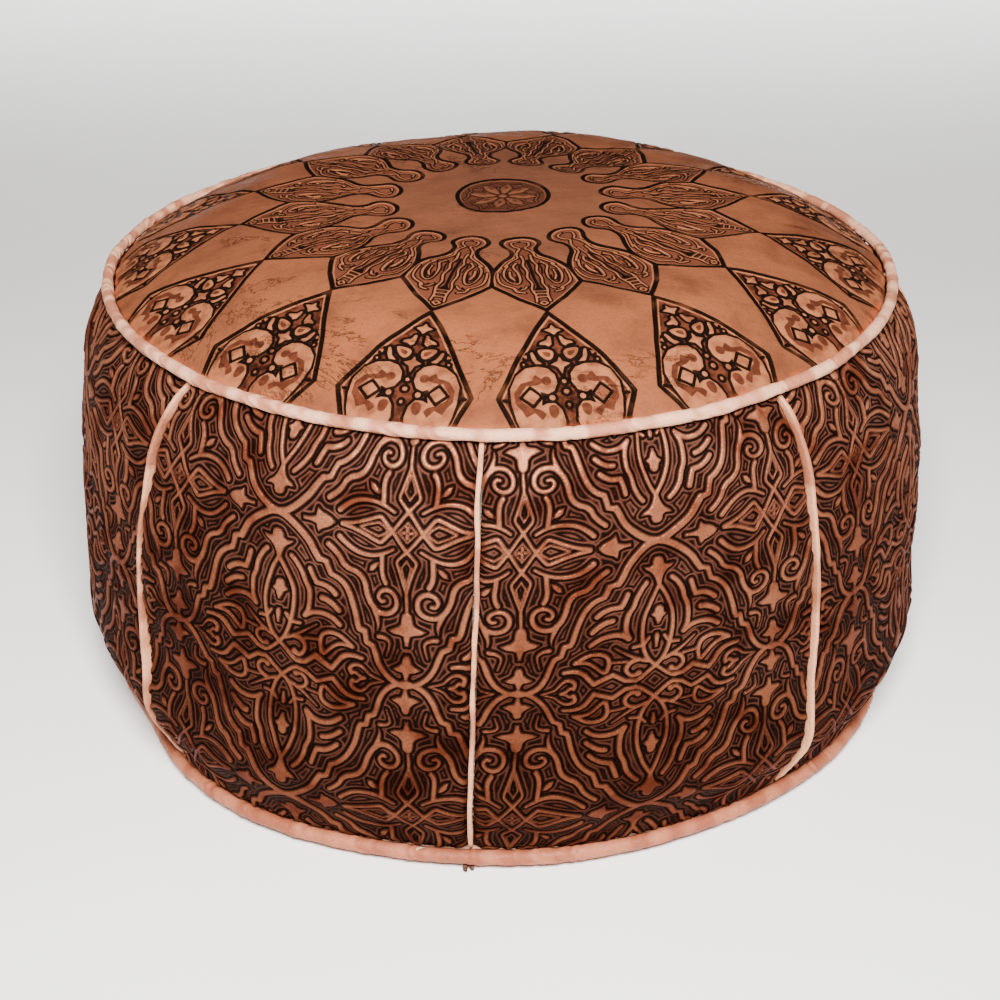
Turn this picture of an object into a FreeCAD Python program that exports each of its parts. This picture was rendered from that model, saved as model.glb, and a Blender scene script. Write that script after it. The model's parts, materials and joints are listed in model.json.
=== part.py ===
"""Round stuffed leather pouf: sixteen-rayed top, eight side panels, piped seams and a zipped base.

+Z is up and the origin is the middle of the footprint at floor level. The front, where one side
seam stands a few degrees off the middle, faces -Y. Every size is in millimetres.
"""
import FreeCAD, Part
import math
import os
import Sketcher
from FreeCAD import Placement, Rotation, Vector

doc = FreeCAD.newDocument("leather_pouf")

# ---------------------------------------------------------------- driving dimensions
DIMENSIONS = [
    ("leather", 2.5, "thickness of the body leather"),
    ("panel_count", 8, "side panels around the pouf"),
    ("front_seam_angle", -93.9, "azimuth of the front side seam, from +X"),
    ("side_welt_angle", 0.7, "angle that one side welt takes out of the ring"),
    ("side_welt_proud", 1.8, "how far a side welt stands out of the panels"),
    ("side_welt_depth", 7, "how far its flange reaches behind the outer face"),
    ("side_welt_head", 256, "height of the upper end of a side welt"),
    ("side_welt_foot", 19, "height of the lower end of a side welt"),
    ("top_seam_radius", 237.4, "where the top leather meets the side panels"),
    ("top_seam_height", 266.3, "height of that seam"),
    ("top_seam_tilt", 46, "outward direction of the top welt, above level"),
    ("top_welt_radius", 3.3, "half the thickness of the top welt"),
    ("top_cord_radius", 2.1, "half the thickness of the cord inside it"),
    ("foot_seam_radius", 254.5, "where the side panels meet the base"),
    ("foot_seam_height", 10.75, "height of that seam"),
    ("foot_seam_tilt", -35, "outward direction of the bottom welt, above level"),
    ("foot_welt_radius", 4.8, "half the thickness of the bottom welt"),
    ("foot_cord_radius", 3.3, "half the thickness of the cord inside it"),
    ("flange_half", 1.0, "half the thickness of a welt's flange"),
    ("hem_length", 9, "seam allowance turned into the pouf"),
    ("shoulder_radius", 260.8, "radius where the round shoulder ends"),
    ("shoulder_height", 217.6, "height where the round shoulder ends"),
    ("belly_radius", 270, "widest radius of the side"),
    ("belly_height", 97, "height of the widest radius"),
    ("crown_height", 307, "height of the middle of the top"),
    ("knee_radius", 143.8, "radius where the flat crown turns down"),
    ("knee_height", 300.7, "height of that turn"),
    ("base_flat_radius", 238.4, "radius of the flat that stands on the floor"),
    ("fill_floor", 11.5, "underside of the filling"),
    ("fill_foot_radius", 226.4, "radius of the filling's underside"),
    ("fill_belly_radius", 258, "widest radius of the filling"),
    ("fill_shoulder_radius", 222, "radius of the filling's upper edge"),
    ("fill_shoulder_height", 253, "height of the filling's upper edge"),
    ("fill_crown_height", 301, "height of the middle of the filling"),
    ("lining", 1.2, "thickness of the cloth liner"),
    ("thread_radius", 0.4, "half the thickness of the sewing thread"),
    ("stitch_pitch", 7, "distance from one stitch to the next"),
    ("stitch_depth", 5, "how far behind the seam the stitches run"),
    ("stitch_tail", 0.6, "thread showing past the last layer"),
    ("stitch_lift", 0.2, "height of the zip stitches above the floor"),
    ("zip_stitch_near", 2, "from the opening's edge to the first row of zip stitches"),
    ("zip_stitch_far", 6, "from the opening's edge to the second row"),
    ("slot_half_length", 204, "half the length of the zip opening in the base"),
    ("slot_half_width", 9, "half its width"),
    ("slot_hem", 15, "width of the doubled leather along the opening"),
    ("tape_half_length", 198, "half the length of the zip tape"),
    ("tape_inner", 1.5, "from the zip's middle line to the tape"),
    ("tape_width", 16, "width of one tape"),
    ("tape_thickness", 0.7, "thickness of the tape"),
    ("tooth_reach", 1.35, "how far a tooth passes the middle line"),
    ("tooth_outer", 4.5, "from the middle line to the back of a tooth"),
    ("tooth_length", 1.1, "size of a tooth along the zip"),
    ("tooth_half_height", 1.1, "half the thickness of the zip chain"),
    ("tooth_pitch", 2.6, "distance between teeth of one row"),
    ("teeth_start", -178, "first tooth of the row"),
    ("teeth_count", 134, "teeth in one row"),
    ("slider_x", 172, "middle of the slider with the zip closed"),
    ("slider_half_length", 7, "half the length of the slider"),
    ("slider_half_width", 5.7, "half the width of the slider"),
    ("slider_plate", 0.8, "thickness of each slider plate"),
    ("slider_gap", 0.3, "free space between slider and chain"),
    ("post_start", 3.4, "from the middle of the slider to its post"),
    ("post_end", 0.6, "from the post to the slider's nose"),
    ("post_room", 0.4, "free space beside the post"),
    ("stop_gap", 1.5, "from the shut slider to its stops"),
    ("stop_length", 2.5, "size of a stop along the zip"),
    ("stop_grip", 1, "how far a stop reaches past the edge of its tape"),
    ("far_stop_near", 2, "from the first tooth to the stop at the far end"),
    ("bail_half_length", 4.5, "half the length of the loop that holds the pull"),
    ("bail_half_width", 1.1, "half the width of that loop"),
    ("bail_room", 1.55, "free height inside that loop"),
    ("bail_wall", 0.7, "thickness of that loop"),
    ("bail_leg", 1.2, "size of each leg of the loop along the zip"),
    ("pull_bar_radius", 0.45, "radius of the pull's hinge bar"),
    ("pull_length", 26, "from the hinge bar to the tip of the pull"),
    ("pull_eye", 6.2, "length of the window in the pull"),
    ("pull_half_width", 3, "half the width of the pull"),
    ("pull_arm_inner", 1.5, "from the middle of the pull to the inside of an arm"),
    ("tail_width", 6, "width of the leather end under the front seam"),
    ("tail_thickness", 2.4, "its thickness"),
    ("tail_tuck", 6, "how far it starts inside the bottom seam"),
    ("tail_length", 15, "its length"),
    ("tail_lift", 0.4, "height of its underside"),
]
sheet = doc.addObject("Spreadsheet::Sheet", "Dimensions")
for row, (alias, value, note) in enumerate(DIMENSIONS, start=1):
    sheet.set(f"A{row}", note)
    sheet.set(f"B{row}", str(value))
    sheet.setAlias(f"B{row}", alias)
doc.recompute()

subparts = []


def size(alias):
    """The value of one cell of the sheet."""
    return float(sheet.get(alias))


def cell(formula):
    """A formula with {cell names} in it, as an expression that reads the sheet."""
    return formula.format(**{alias: f"Dimensions.{alias}" for alias, _, _ in DIMENSIONS})


def number(formula):
    """The value of such a formula now, in millimetres or degrees."""
    result = sheet.evalExpression(formula.format(**{a: size(a) for a, _, _ in DIMENSIONS}))
    return float(getattr(result, "Value", result))


def keep(item, label):
    """Gives a sub-part the name that its file takes."""
    item.Label = label
    subparts.append(item)
    return item


def seam_point(seam, along, across):
    """A place near a piped seam: along its outward direction, and across it towards the floor."""
    tilt = "({%s_seam_tilt} * 1 deg)" % seam
    x = "{%s_seam_radius} + (%s) * cos%s + (%s) * sin%s" % (seam, along, tilt, across, tilt)
    y = "{%s_seam_height} + (%s) * sin%s - (%s) * cos%s" % (seam, along, tilt, across, tilt)
    return x, y


# ---------------------------------------------------------------- sketching helpers
class Outline:
    """Draws in one sketch of a body, and ties each measure to the sheet."""

    def __init__(self, body, name, plane="XZ_Plane"):
        self.sketch = body.newObject("Sketcher::SketchObject", name)
        feature = next(f for f in body.Origin.OriginFeatures if f.Role == plane)
        self.sketch.AttachmentSupport = [(feature, "")]
        self.sketch.MapMode = "FlatFace"

    def tie(self, kind, *where, formula=None, angle=False):
        if formula is None:
            return self.sketch.addConstraint(Sketcher.Constraint(kind, *where))
        value = number(formula)
        start = math.radians(value) if angle else value
        index = self.sketch.addConstraint(Sketcher.Constraint(kind, *where, start))
        unit = " * 1 deg" if angle else ""
        self.sketch.setExpression(f"Constraints[{index}]", cell(f"({formula}){unit}"))
        return index

    def place(self, item, end, x, y):
        """Ties a point of the sketch to the two formulas x and y."""
        self.tie("DistanceX", -1, 1, item, end, formula=x)
        self.tie("DistanceY", -1, 1, item, end, formula=y)

    def line(self, start, end, join=None):
        item = self.sketch.addGeometry(Part.LineSegment(point(*start), point(*end)), False)
        if join is not None:
            self.tie("Coincident", join[0], join[1], item, 1)
        return item

    def arc(self, centre, start, end, guide=False):
        """An arc about centre that runs anticlockwise from start to end."""
        first = math.atan2(start[1] - centre[1], start[0] - centre[0])
        last = math.atan2(end[1] - centre[1], end[0] - centre[0])
        radius = math.dist(centre, start)
        circle = Part.Circle(point(*centre), Vector(0, 0, 1), radius)
        return self.sketch.addGeometry(Part.ArcOfCircle(circle, first, last), guide)

    def rectangle(self, x_low, x_high, y_low, y_high):
        low = number(x_low), number(y_low)
        high = number(x_high), number(y_high)
        corners = [low, (high[0], low[1]), high, (low[0], high[1])]
        sides = [self.line(corners[i], corners[(i + 1) % 4]) for i in range(4)]
        for i in range(4):
            self.tie("Coincident", sides[i], 2, sides[(i + 1) % 4], 1)
        for i in (0, 2):
            self.tie("Horizontal", sides[i])
            self.tie("Vertical", sides[i + 1])
        self.place(sides[0], 1, x_low, y_low)
        self.place(sides[2], 1, x_high, y_high)

    def circle(self, x, y, radius):
        middle = number(x), number(y)
        shape = Part.Circle(point(*middle), Vector(0, 0, 1), number(radius))
        item = self.sketch.addGeometry(shape, False)
        self.place(item, 3, x, y)
        self.tie("Radius", item, formula=radius)
        return item


def point(x, y):
    return Vector(x, y, 0)


def toward(start, end, reach):
    """The point at a distance from start on the way to end."""
    share = reach / math.dist(start, end)
    return start[0] + (end[0] - start[0]) * share, start[1] + (end[1] - start[1]) * share


def place_of(pair):
    return number(pair[0]), number(pair[1])


def revolve(body, outline, formula, name="Turn", both_ways=True):
    """Turns an outline about the pouf's axis through an angle of the sheet."""
    turn = body.newObject("PartDesign::Revolution", name)
    turn.Profile = outline.sketch
    turn.ReferenceAxis = (outline.sketch, ["V_Axis"])
    turn.Midplane = both_ways
    turn.Angle = number(formula)
    turn.setExpression("Angle", cell(formula))
    return turn


def new_body(label):
    return keep(doc.addObject("PartDesign::Body", label), label)


def turn_to(body, formula):
    """Turns a body about the pouf's axis to an azimuth."""
    body.Placement = Placement(Vector(), Rotation(Vector(0, 0, 1), number(formula)))
    body.setExpression(".Placement.Rotation.Angle", cell(f"({formula}) * 1 deg"))


# ---------------------------------------------------------------- the curve of the side
def centre_level_with(point_on_arc, other, level):
    """Centre, at the height level, of the arc from point_on_arc at that height to other."""
    across = point_on_arc[0] - other[0]
    rise = other[1] - level
    radius = (across**2 + rise**2) / (2 * across)
    return point_on_arc[0] - radius, level


def side_curve(outline, guide):
    """Three arcs up the side: foot to belly, belly to shoulder, shoulder to top seam."""
    top = place_of(seam_point("top", "0", "{flange_half}"))
    foot = place_of(seam_point("foot", "0", "-{flange_half}"))
    shoulder = size("shoulder_radius"), size("shoulder_height")
    belly = size("belly_radius"), size("belly_height")
    upper = centre_level_with(belly, shoulder, belly[1])
    lower = centre_level_with(belly, foot, belly[1])
    chord = math.dist(shoulder, top)
    inward = math.atan2(upper[1] - shoulder[1], upper[0] - shoulder[0])
    along = math.atan2(top[1] - shoulder[1], top[0] - shoulder[0])
    head = toward(shoulder, upper, chord / (2 * math.cos(inward - along)))
    arcs = [
        outline.arc(lower, foot, belly, guide),
        outline.arc(upper, belly, shoulder, guide),
        outline.arc(head, shoulder, top, guide),
    ]
    outline.place(arcs[0], 1, *seam_point("foot", "0", "-{flange_half}"))
    outline.place(arcs[1], 1, "{belly_radius}", "{belly_height}")
    outline.place(arcs[2], 2, *seam_point("top", "0", "{flange_half}"))
    outline.place(arcs[1], 2, "{shoulder_radius}", "{shoulder_height}")
    outline.tie("Coincident", arcs[0], 2, arcs[1], 1)
    outline.tie("Tangent", arcs[1], 2, arcs[2], 1)
    for arc in arcs[:2]:
        outline.tie("Horizontal", arc, 3, arcs[1], 1)
    return arcs, (lower, upper, head), (foot, belly, shoulder, top)


def side_offset(outline, arcs, centres, corners, formula):
    """The side curve again, moved inwards by a formula of the sheet."""
    inset = number(formula)
    copies = []
    for i in range(3):
        start = toward(corners[i], centres[i], inset)
        copies.append(outline.arc(centres[i], start, toward(corners[i + 1], centres[i], inset)))
        outline.tie("Coincident", copies[i], 3, arcs[i], 3)
    outline.tie("DistanceX", -1, 1, copies[1], 1, formula="{belly_radius} - (%s)" % formula)
    outline.tie("Horizontal", copies[1], 1, copies[1], 3)
    outline.tie("Coincident", copies[0], 2, copies[1], 1)
    outline.tie("Tangent", copies[1], 2, copies[2], 1)
    return copies


def hem(outline, seam, side, outer, inner):
    """A seam allowance: from an edge it turns in along the seam, and comes back to the inside.

    outer and inner are (item, end) of the wall's two faces; side is 1 where the wall lies on
    the floor's side of the seam, and -1 where it lies above.
    """
    foot = seam_point(seam, "0", "%d * {flange_half}" % side)
    reach = "-{hem_length}"
    deep = seam_point(seam, reach, "%d * {flange_half}" % side)
    back = seam_point(seam, reach, "%d * ({flange_half} + {leather})" % side)
    near = seam_point(seam, "0", "%d * ({flange_half} + {leather})" % side)
    face = outline.line(place_of(foot), place_of(deep), outer)
    edge = outline.line(place_of(deep), place_of(back), (face, 2))
    rear = outline.line(place_of(back), place_of(near), (edge, 2))
    outline.place(face, 2, *deep)
    outline.place(edge, 2, *back)
    outline.tie("Parallel", rear, face)
    outline.tie("Coincident", rear, 2, *inner)


# ---------------------------------------------------------------- leather of the cover
def side_panel(index):
    body = new_body(f"side_panel_{index + 1}")
    outline = Outline(body, f"PanelSection{index + 1}")
    arcs, centres, corners = side_curve(outline, guide=False)
    inner = side_offset(outline, arcs, centres, corners, "{leather}")
    hem(outline, "top", 1, (arcs[2], 2), (inner[2], 2))
    hem(outline, "foot", -1, (arcs[0], 1), (inner[0], 1))
    revolve(body, outline, "360 / {panel_count} - {side_welt_angle}")
    turn_to(body, "{front_seam_angle} + %s * 360 / {panel_count}" % (index + 0.5))


def side_welt(index):
    """A folded strip sewn between two panels, proud of them outside and a flange inside."""
    body = new_body(f"side_welt_{index + 1}")
    outline = Outline(body, f"WeltSection{index + 1}")
    arcs, centres, corners = side_curve(outline, guide=True)
    proud = side_offset(outline, arcs, centres, corners, "-{side_welt_proud}")
    flange = side_offset(outline, arcs, centres, corners, "{side_welt_depth}")
    for arc, end, height in ((2, 2, "{side_welt_head}"), (0, 1, "{side_welt_foot}")):
        level = number(height)
        spots = []
        for curve in (proud, flange):
            item = outline.sketch.Geometry[curve[arc]]
            rise = level - centres[arc][1]
            spots.append((centres[arc][0] + math.sqrt(item.Radius**2 - rise**2), level))
        cap = outline.line(spots[0], spots[1])
        outline.tie("Coincident", cap, 1, proud[arc], end)
        outline.tie("Coincident", cap, 2, flange[arc], end)
        outline.tie("Horizontal", cap)
        outline.tie("DistanceY", -1, 1, cap, 1, formula=height)
    revolve(body, outline, "{side_welt_angle}")
    turn_to(body, "{front_seam_angle} + %d * 360 / {panel_count}" % index)


def top_panel():
    body = new_body("top_panel")
    outline = Outline(body, "TopSection")
    rim = place_of(seam_point("top", "0", "-{flange_half}"))
    knee = size("knee_radius"), size("knee_height")
    peak = 0, size("crown_height")
    drop = peak[1] - knee[1]
    crown_centre = 0, peak[1] - (knee[0] ** 2 + drop**2) / (2 * drop)
    inward = math.atan2(crown_centre[1] - knee[1], -knee[0])
    along = math.atan2(rim[1] - knee[1], rim[0] - knee[0])
    radius = math.dist(knee, rim) / (2 * math.cos(inward - along))
    edge_centre = toward(knee, crown_centre, radius)
    edge = outline.arc(edge_centre, rim, knee)
    crown = outline.arc(crown_centre, knee, peak)
    outline.place(edge, 1, *seam_point("top", "0", "-{flange_half}"))
    outline.place(crown, 1, "{knee_radius}", "{knee_height}")
    outline.place(crown, 2, "0", "{crown_height}")
    outline.tie("PointOnObject", crown, 3, -2)
    outline.tie("Tangent", edge, 2, crown, 1)
    wall = size("leather")
    low_rim = toward(rim, edge_centre, wall)
    low_edge = outline.arc(edge_centre, low_rim, toward(knee, edge_centre, wall))
    low_crown = outline.arc(crown_centre, toward(knee, crown_centre, wall), (0, peak[1] - wall))
    outline.tie("Coincident", low_edge, 3, edge, 3)
    outline.tie("Coincident", low_crown, 3, crown, 3)
    outline.tie("Tangent", low_edge, 2, low_crown, 1)
    close = outline.line(peak, (0, peak[1] - wall), (crown, 2))
    outline.tie("Coincident", close, 2, low_crown, 2)
    outline.place(close, 2, "0", "{crown_height} - {leather}")
    hem(outline, "top", -1, (edge, 1), (low_edge, 1))
    revolve(body, outline, "360", both_ways=False)


def base_half(label, azimuth):
    """Half of the round base, with its edge turned double along the zip opening."""
    body = new_body(label)
    outline = Outline(body, f"Section_{label}")
    rim = place_of(seam_point("foot", "0", "{flange_half}"))
    flat = size("base_flat_radius"), 0
    centre = flat[0], ((rim[0] - flat[0]) ** 2 + rim[1] ** 2) / (2 * rim[1])
    wall = size("leather")
    outer = outline.arc(centre, flat, rim)
    inner = outline.arc(centre, (flat[0], wall), toward(rim, centre, wall))
    floor = outline.line((0, 0), flat)
    axis = outline.line((0, wall), (0, 0))
    ceiling = outline.line((flat[0], wall), (0, wall), (inner, 1))
    outline.tie("Coincident", floor, 2, outer, 1)
    outline.tie("Coincident", floor, 1, axis, 2)
    outline.tie("Coincident", ceiling, 2, axis, 1)
    outline.place(floor, 1, "0", "0")
    outline.place(outer, 1, "{base_flat_radius}", "0")
    outline.place(axis, 1, "0", "{leather}")
    outline.tie("Horizontal", ceiling)
    outline.tie("Vertical", outer, 3, outer, 1)
    outline.place(outer, 2, *seam_point("foot", "0", "{flange_half}"))
    outline.tie("Coincident", inner, 3, outer, 3)
    outline.tie("Vertical", inner, 1, inner, 3)
    hem(outline, "foot", 1, (outer, 2), (inner, 2))
    revolve(body, outline, "180", both_ways=False)

    opening = Outline(body, f"Opening_{label}", "XY_Plane")
    opening.rectangle("-{slot_half_length}", "{slot_half_length}", "-1", "{slot_half_width}")
    pocket = body.newObject("PartDesign::Pocket", f"Slot_{label}")
    pocket.Profile = opening.sketch
    pocket.Type = "ThroughAll"
    pocket.Midplane = True

    fold = Outline(body, f"Fold_{label}", "XY_Plane")
    outer_edge = "{slot_half_width} + {slot_hem}"
    fold.rectangle("-{slot_half_length}", "{slot_half_length}", "{slot_half_width}", outer_edge)
    pad = body.newObject("PartDesign::Pad", f"Doubled_{label}")
    pad.Profile = fold.sketch
    pad.Length = 2 * wall
    pad.setExpression("Length", cell("2 * {leather}"))
    turn_to(body, azimuth)


# ---------------------------------------------------------------- welts
def ring_welt(seam, label):
    """A leather strip folded round a cord, with its two edges as a flange in the seam."""
    body = new_body(f"{label}_welt_cover")
    outline = Outline(body, f"WeltSection_{label}")
    radius = "{%s_welt_radius}" % seam
    half = math.asin(size("flange_half") / size(f"{seam}_welt_radius"))
    middle = place_of(seam_point(seam, radius, "0"))
    inward = math.radians(size(f"{seam}_seam_tilt")) + math.pi
    reach = size(f"{seam}_welt_radius")
    neck = [
        (middle[0] + reach * math.cos(turn), middle[1] + reach * math.sin(turn))
        for turn in (inward + half, inward - half)
    ]
    loop = outline.arc(middle, neck[0], neck[1])
    outline.place(loop, 3, *seam_point(seam, radius, "0"))
    outline.tie("Radius", loop, formula=radius)
    tips = [seam_point(seam, "-{hem_length}", "%s{flange_half}" % sign) for sign in ("", "-")]
    low = outline.line(neck[0], place_of(tips[0]), (loop, 1))
    end = outline.line(place_of(tips[0]), place_of(tips[1]), (low, 2))
    high = outline.line(place_of(tips[1]), neck[1], (end, 2))
    outline.tie("Coincident", high, 2, loop, 2)
    outline.place(low, 2, *tips[0])
    outline.place(high, 1, *tips[1])
    outline.tie("Angle", low, formula="{%s_seam_tilt} - 180" % seam, angle=True)
    outline.tie("Parallel", high, low)
    outline.circle(*seam_point(seam, radius, "0"), "{%s_cord_radius}" % seam)
    revolve(body, outline, "360", both_ways=False)

    cord = keep(doc.addObject("Part::Torus", f"{label}_welt_cord"), f"{label}_welt_cord")
    x, y = seam_point(seam, radius, "0")
    cord.setExpression("Radius1", cell(x))
    cord.setExpression("Radius2", cell("{%s_cord_radius}" % seam))
    cord.setExpression(".Placement.Base.z", cell(y))


# ---------------------------------------------------------------- inside
def filling_and_liner():
    body = new_body("filling")
    outline = Outline(body, "FillingSection")
    floor = size("fill_floor")
    foot = size("fill_foot_radius"), floor
    belly = size("fill_belly_radius"), size("belly_height")
    edge = size("fill_shoulder_radius"), size("fill_shoulder_height")
    peak = 0, size("fill_crown_height")
    drop = peak[1] - edge[1]
    dome = 0, peak[1] - (edge[0] ** 2 + drop**2) / (2 * drop)
    lower = outline.arc(centre_level_with(belly, foot, belly[1]), foot, belly)
    upper = outline.arc(centre_level_with(belly, edge, belly[1]), belly, edge)
    crown = outline.arc(dome, edge, peak)
    axis = outline.line(peak, (0, floor), (crown, 2))
    under = outline.line((0, floor), foot, (axis, 2))
    outline.tie("Coincident", under, 2, lower, 1)
    outline.tie("Coincident", lower, 2, upper, 1)
    outline.tie("Coincident", upper, 2, crown, 1)
    outline.place(lower, 1, "{fill_foot_radius}", "{fill_floor}")
    outline.place(upper, 1, "{fill_belly_radius}", "{belly_height}")
    outline.place(crown, 1, "{fill_shoulder_radius}", "{fill_shoulder_height}")
    outline.place(crown, 2, "0", "{fill_crown_height}")
    outline.place(under, 1, "0", "{fill_floor}")
    outline.tie("PointOnObject", crown, 3, -2)
    for arc in (lower, upper):
        outline.tie("Horizontal", arc, 3, upper, 1)
    revolve(body, outline, "360", both_ways=False)

    skin = doc.addObject("Part::Offset", "LinerOutside")
    skin.Source = body
    skin.Join = 2
    skin.setExpression("Value", cell("{lining}"))
    liner = keep(doc.addObject("Part::Cut", "lining_bag"), "lining_bag")
    liner.Base = skin
    liner.Tool = body


def thread_rod(centre, direction, length):
    """One stitch crossing the layers of a seam."""
    start = centre - direction * (length / 2)
    return Part.makeCylinder(size("thread_radius"), length, start, direction)


def grouped(label, solids):
    """Several equal small solids in one sub-part."""
    group = doc.addObject("Part::Feature", label)
    group.Shape = Part.makeCompound(solids)
    keep(group, label)


def ring_stitches(seam, label):
    """Stitches all round, through the upper leather, the welt and the lower leather."""
    middle = place_of(seam_point(seam, "-{stitch_depth}", "0"))
    tilt = math.radians(size(f"{seam}_seam_tilt"))
    across = Vector(math.sin(tilt), 0, -math.cos(tilt))
    length = 2 * (size("flange_half") + size("leather") + size("stitch_tail"))
    first = thread_rod(Vector(middle[0], 0, middle[1]), across, length)
    count = round(2 * math.pi * middle[0] / size("stitch_pitch"))
    rods = []
    for i in range(count):
        rod = first.copy()
        rod.rotate(Vector(), Vector(0, 0, 1), 360 * (i + 0.5) / count)
        rods.append(rod)
    grouped(f"{label}_seam_stitches", rods)


def side_stitches():
    """Stitches up the eight side seams, crossing each welt from panel to panel."""
    depth = size("leather") / 2
    belly = size("belly_radius"), size("belly_height")
    length = 2 * (size("stitch_tail") + 2 * size("leather"))
    corners = [
        place_of(seam_point("foot", "0", "-{flange_half}")),
        (size("shoulder_radius"), size("shoulder_height")),
    ]
    rods = []
    steps = int((corners[1][1] - size("side_welt_foot")) / size("stitch_pitch"))
    for i in range(steps):
        height = size("side_welt_foot") + (i + 0.5) * size("stitch_pitch")
        reach = corners[1] if height > belly[1] else corners[0]
        centre = centre_level_with(belly, reach, belly[1])
        radius = belly[0] - centre[0] - depth
        x = centre[0] + math.sqrt(radius**2 - (height - centre[1]) ** 2)
        rods.append(thread_rod(Vector(x, 0, height), Vector(0, 1, 0), length))
    everywhere = []
    for k in range(int(size("panel_count"))):
        azimuth = size("front_seam_angle") + k * 360 / size("panel_count")
        for rod in rods:
            copy = rod.copy()
            copy.rotate(Vector(), Vector(0, 0, 1), azimuth)
            everywhere.append(copy)
    grouped("side_seam_stitches", everywhere)


# ---------------------------------------------------------------- zip in the base
CHAIN = "(2 * {leather} + {tape_thickness} / 2)"


def box(name, x, y, z):
    """A Part box whose three pairs of limits are formulas of the sheet."""
    item = doc.addObject("Part::Box", name)
    for axis, sized, (low, high) in zip("xyz", ("Length", "Width", "Height"), (x, y, z)):
        item.setExpression(sized, cell(f"({high}) - ({low})"))
        item.setExpression(f".Placement.Base.{axis}", cell(low))
    return item


def tape_limits(side):
    far = "({tape_inner} + {tape_width})"
    y = ("{tape_inner}", far) if side > 0 else (f"-{far}", "-{tape_inner}")
    z = ("2 * {leather}", "2 * {leather} + {tape_thickness}")
    return ("-{tape_half_length}", "{tape_half_length}"), y, z


def zip_tape(label, side):
    tape = box(label, *tape_limits(side))
    keep(tape, label)
    return tape


def zip_teeth(label, side, tape):
    """A row of teeth, each clamped over the edge of its tape and reaching past the middle."""
    level = number(CHAIN)
    high = size("tooth_half_height")
    near, far = -size("tooth_reach"), size("tooth_outer")
    low_y = near if side > 0 else -far
    offset = 0 if side > 0 else size("tooth_pitch") / 2
    length = size("tooth_length")
    teeth = []
    for i in range(int(size("teeth_count"))):
        x = size("teeth_start") + offset + i * size("tooth_pitch")
        corner = Vector(x, low_y, level - high)
        teeth.append(Part.makeBox(length, far - near, 2 * high, corner))
    row = doc.addObject("Part::Feature", f"Blanks_{label}")
    row.Shape = Part.makeCompound(teeth)
    cut = keep(doc.addObject("Part::Cut", label), label)
    cut.Base = row
    cut.Tool = tape


def zip_stops(tapes):
    """Two stops where the slider rests when the zip is shut, and one across the far end."""
    chain_low = CHAIN + " - {tooth_half_height}"
    chain_high = CHAIN + " + {tooth_half_height}"
    nose = "{slider_x} + {slider_half_length} + {stop_gap}"
    shut = (nose, nose + " + {stop_length}")
    back = ("{tape_inner} - {stop_grip}", "{tooth_outer}")
    front = ("-{tooth_outer}", "{stop_grip} - {tape_inner}")
    chain = (chain_low, chain_high)
    ends = [box("StopBack", shut, back, chain), box("StopFront", shut, front, chain)]
    pair = doc.addObject("Part::Compound", "StopBlanks")
    pair.Links = ends
    far_end = ("{teeth_start} - {far_stop_near} - {stop_length}", "{teeth_start} - {far_stop_near}")
    across = ("-{tooth_outer}", "{tooth_outer}")
    single = box("StopAcross", far_end, across, chain)
    both = doc.addObject("Part::Compound", "BothTapes")
    both.Links = tapes
    for label, blank in (("zip_top_stops", pair), ("zip_bottom_stop", single)):
        cut = keep(doc.addObject("Part::Cut", label), label)
        cut.Base = blank
        cut.Tool = both


def zip_slider():
    """Two plates joined by a post, with side flanges and a loop under them for the pull."""
    x = ("{slider_x} - {slider_half_length}", "{slider_x} + {slider_half_length}")
    wide = ("-{slider_half_width}", "{slider_half_width}")
    inside = "({tooth_half_height} + {slider_gap})"
    outside = "({tooth_half_height} + {slider_gap} + {slider_plate})"
    tape_room = "({tape_thickness} / 2 + {slider_gap})"
    wall = "({slider_half_width} - {slider_plate})"
    pieces = [
        box("PlateLow", x, wide, (f"{CHAIN} - {outside}", f"{CHAIN} - {inside}")),
        box("PlateHigh", x, wide, (f"{CHAIN} + {inside}", f"{CHAIN} + {outside}")),
    ]
    sides = {"Back": (wall, "{slider_half_width}"), "Front": ("-{slider_half_width}", "-" + wall)}
    for name, y in sides.items():
        low = (f"{CHAIN} - {outside}", f"{CHAIN} - {tape_room}")
        high = (f"{CHAIN} + {tape_room}", f"{CHAIN} + {outside}")
        pieces.append(box(f"Flange{name}Low", x, y, low))
        pieces.append(box(f"Flange{name}High", x, y, high))
    post_x = ("{slider_x} + {post_start}", "{slider_x} + {slider_half_length} - {post_end}")
    post_y = ("{post_room} - {tape_inner}", "{tape_inner} - {post_room}")
    pieces.append(box("Post", post_x, post_y, (f"{CHAIN} - {outside}", f"{CHAIN} + {outside}")))
    bail_x = ("{slider_x} - {bail_half_length}", "{slider_x} + {bail_half_length}")
    bail_y = ("-{bail_half_width}", "{bail_half_width}")
    bottom = f"{CHAIN} - {outside} - {{bail_room}} - {{bail_wall}}"
    loop = box("BailBlank", bail_x, bail_y, (bottom, f"{CHAIN} - {outside}"))
    room_x = (f"{bail_x[0]} + {{bail_leg}}", f"{bail_x[1]} - {{bail_leg}}")
    room_y = ("-{bail_half_width} - 1", "{bail_half_width} + 1")
    room = box("BailRoom", room_x, room_y, (f"{bottom} + {{bail_wall}}", f"{CHAIN} - {outside}"))
    bail = doc.addObject("Part::Cut", "Bail")
    bail.Base = loop
    bail.Tool = room
    slider = doc.addObject("Part::MultiFuse", "zip_slider")
    slider.Shapes = pieces + [bail]
    slider.Refine = True
    keep(slider, "zip_slider")


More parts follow.
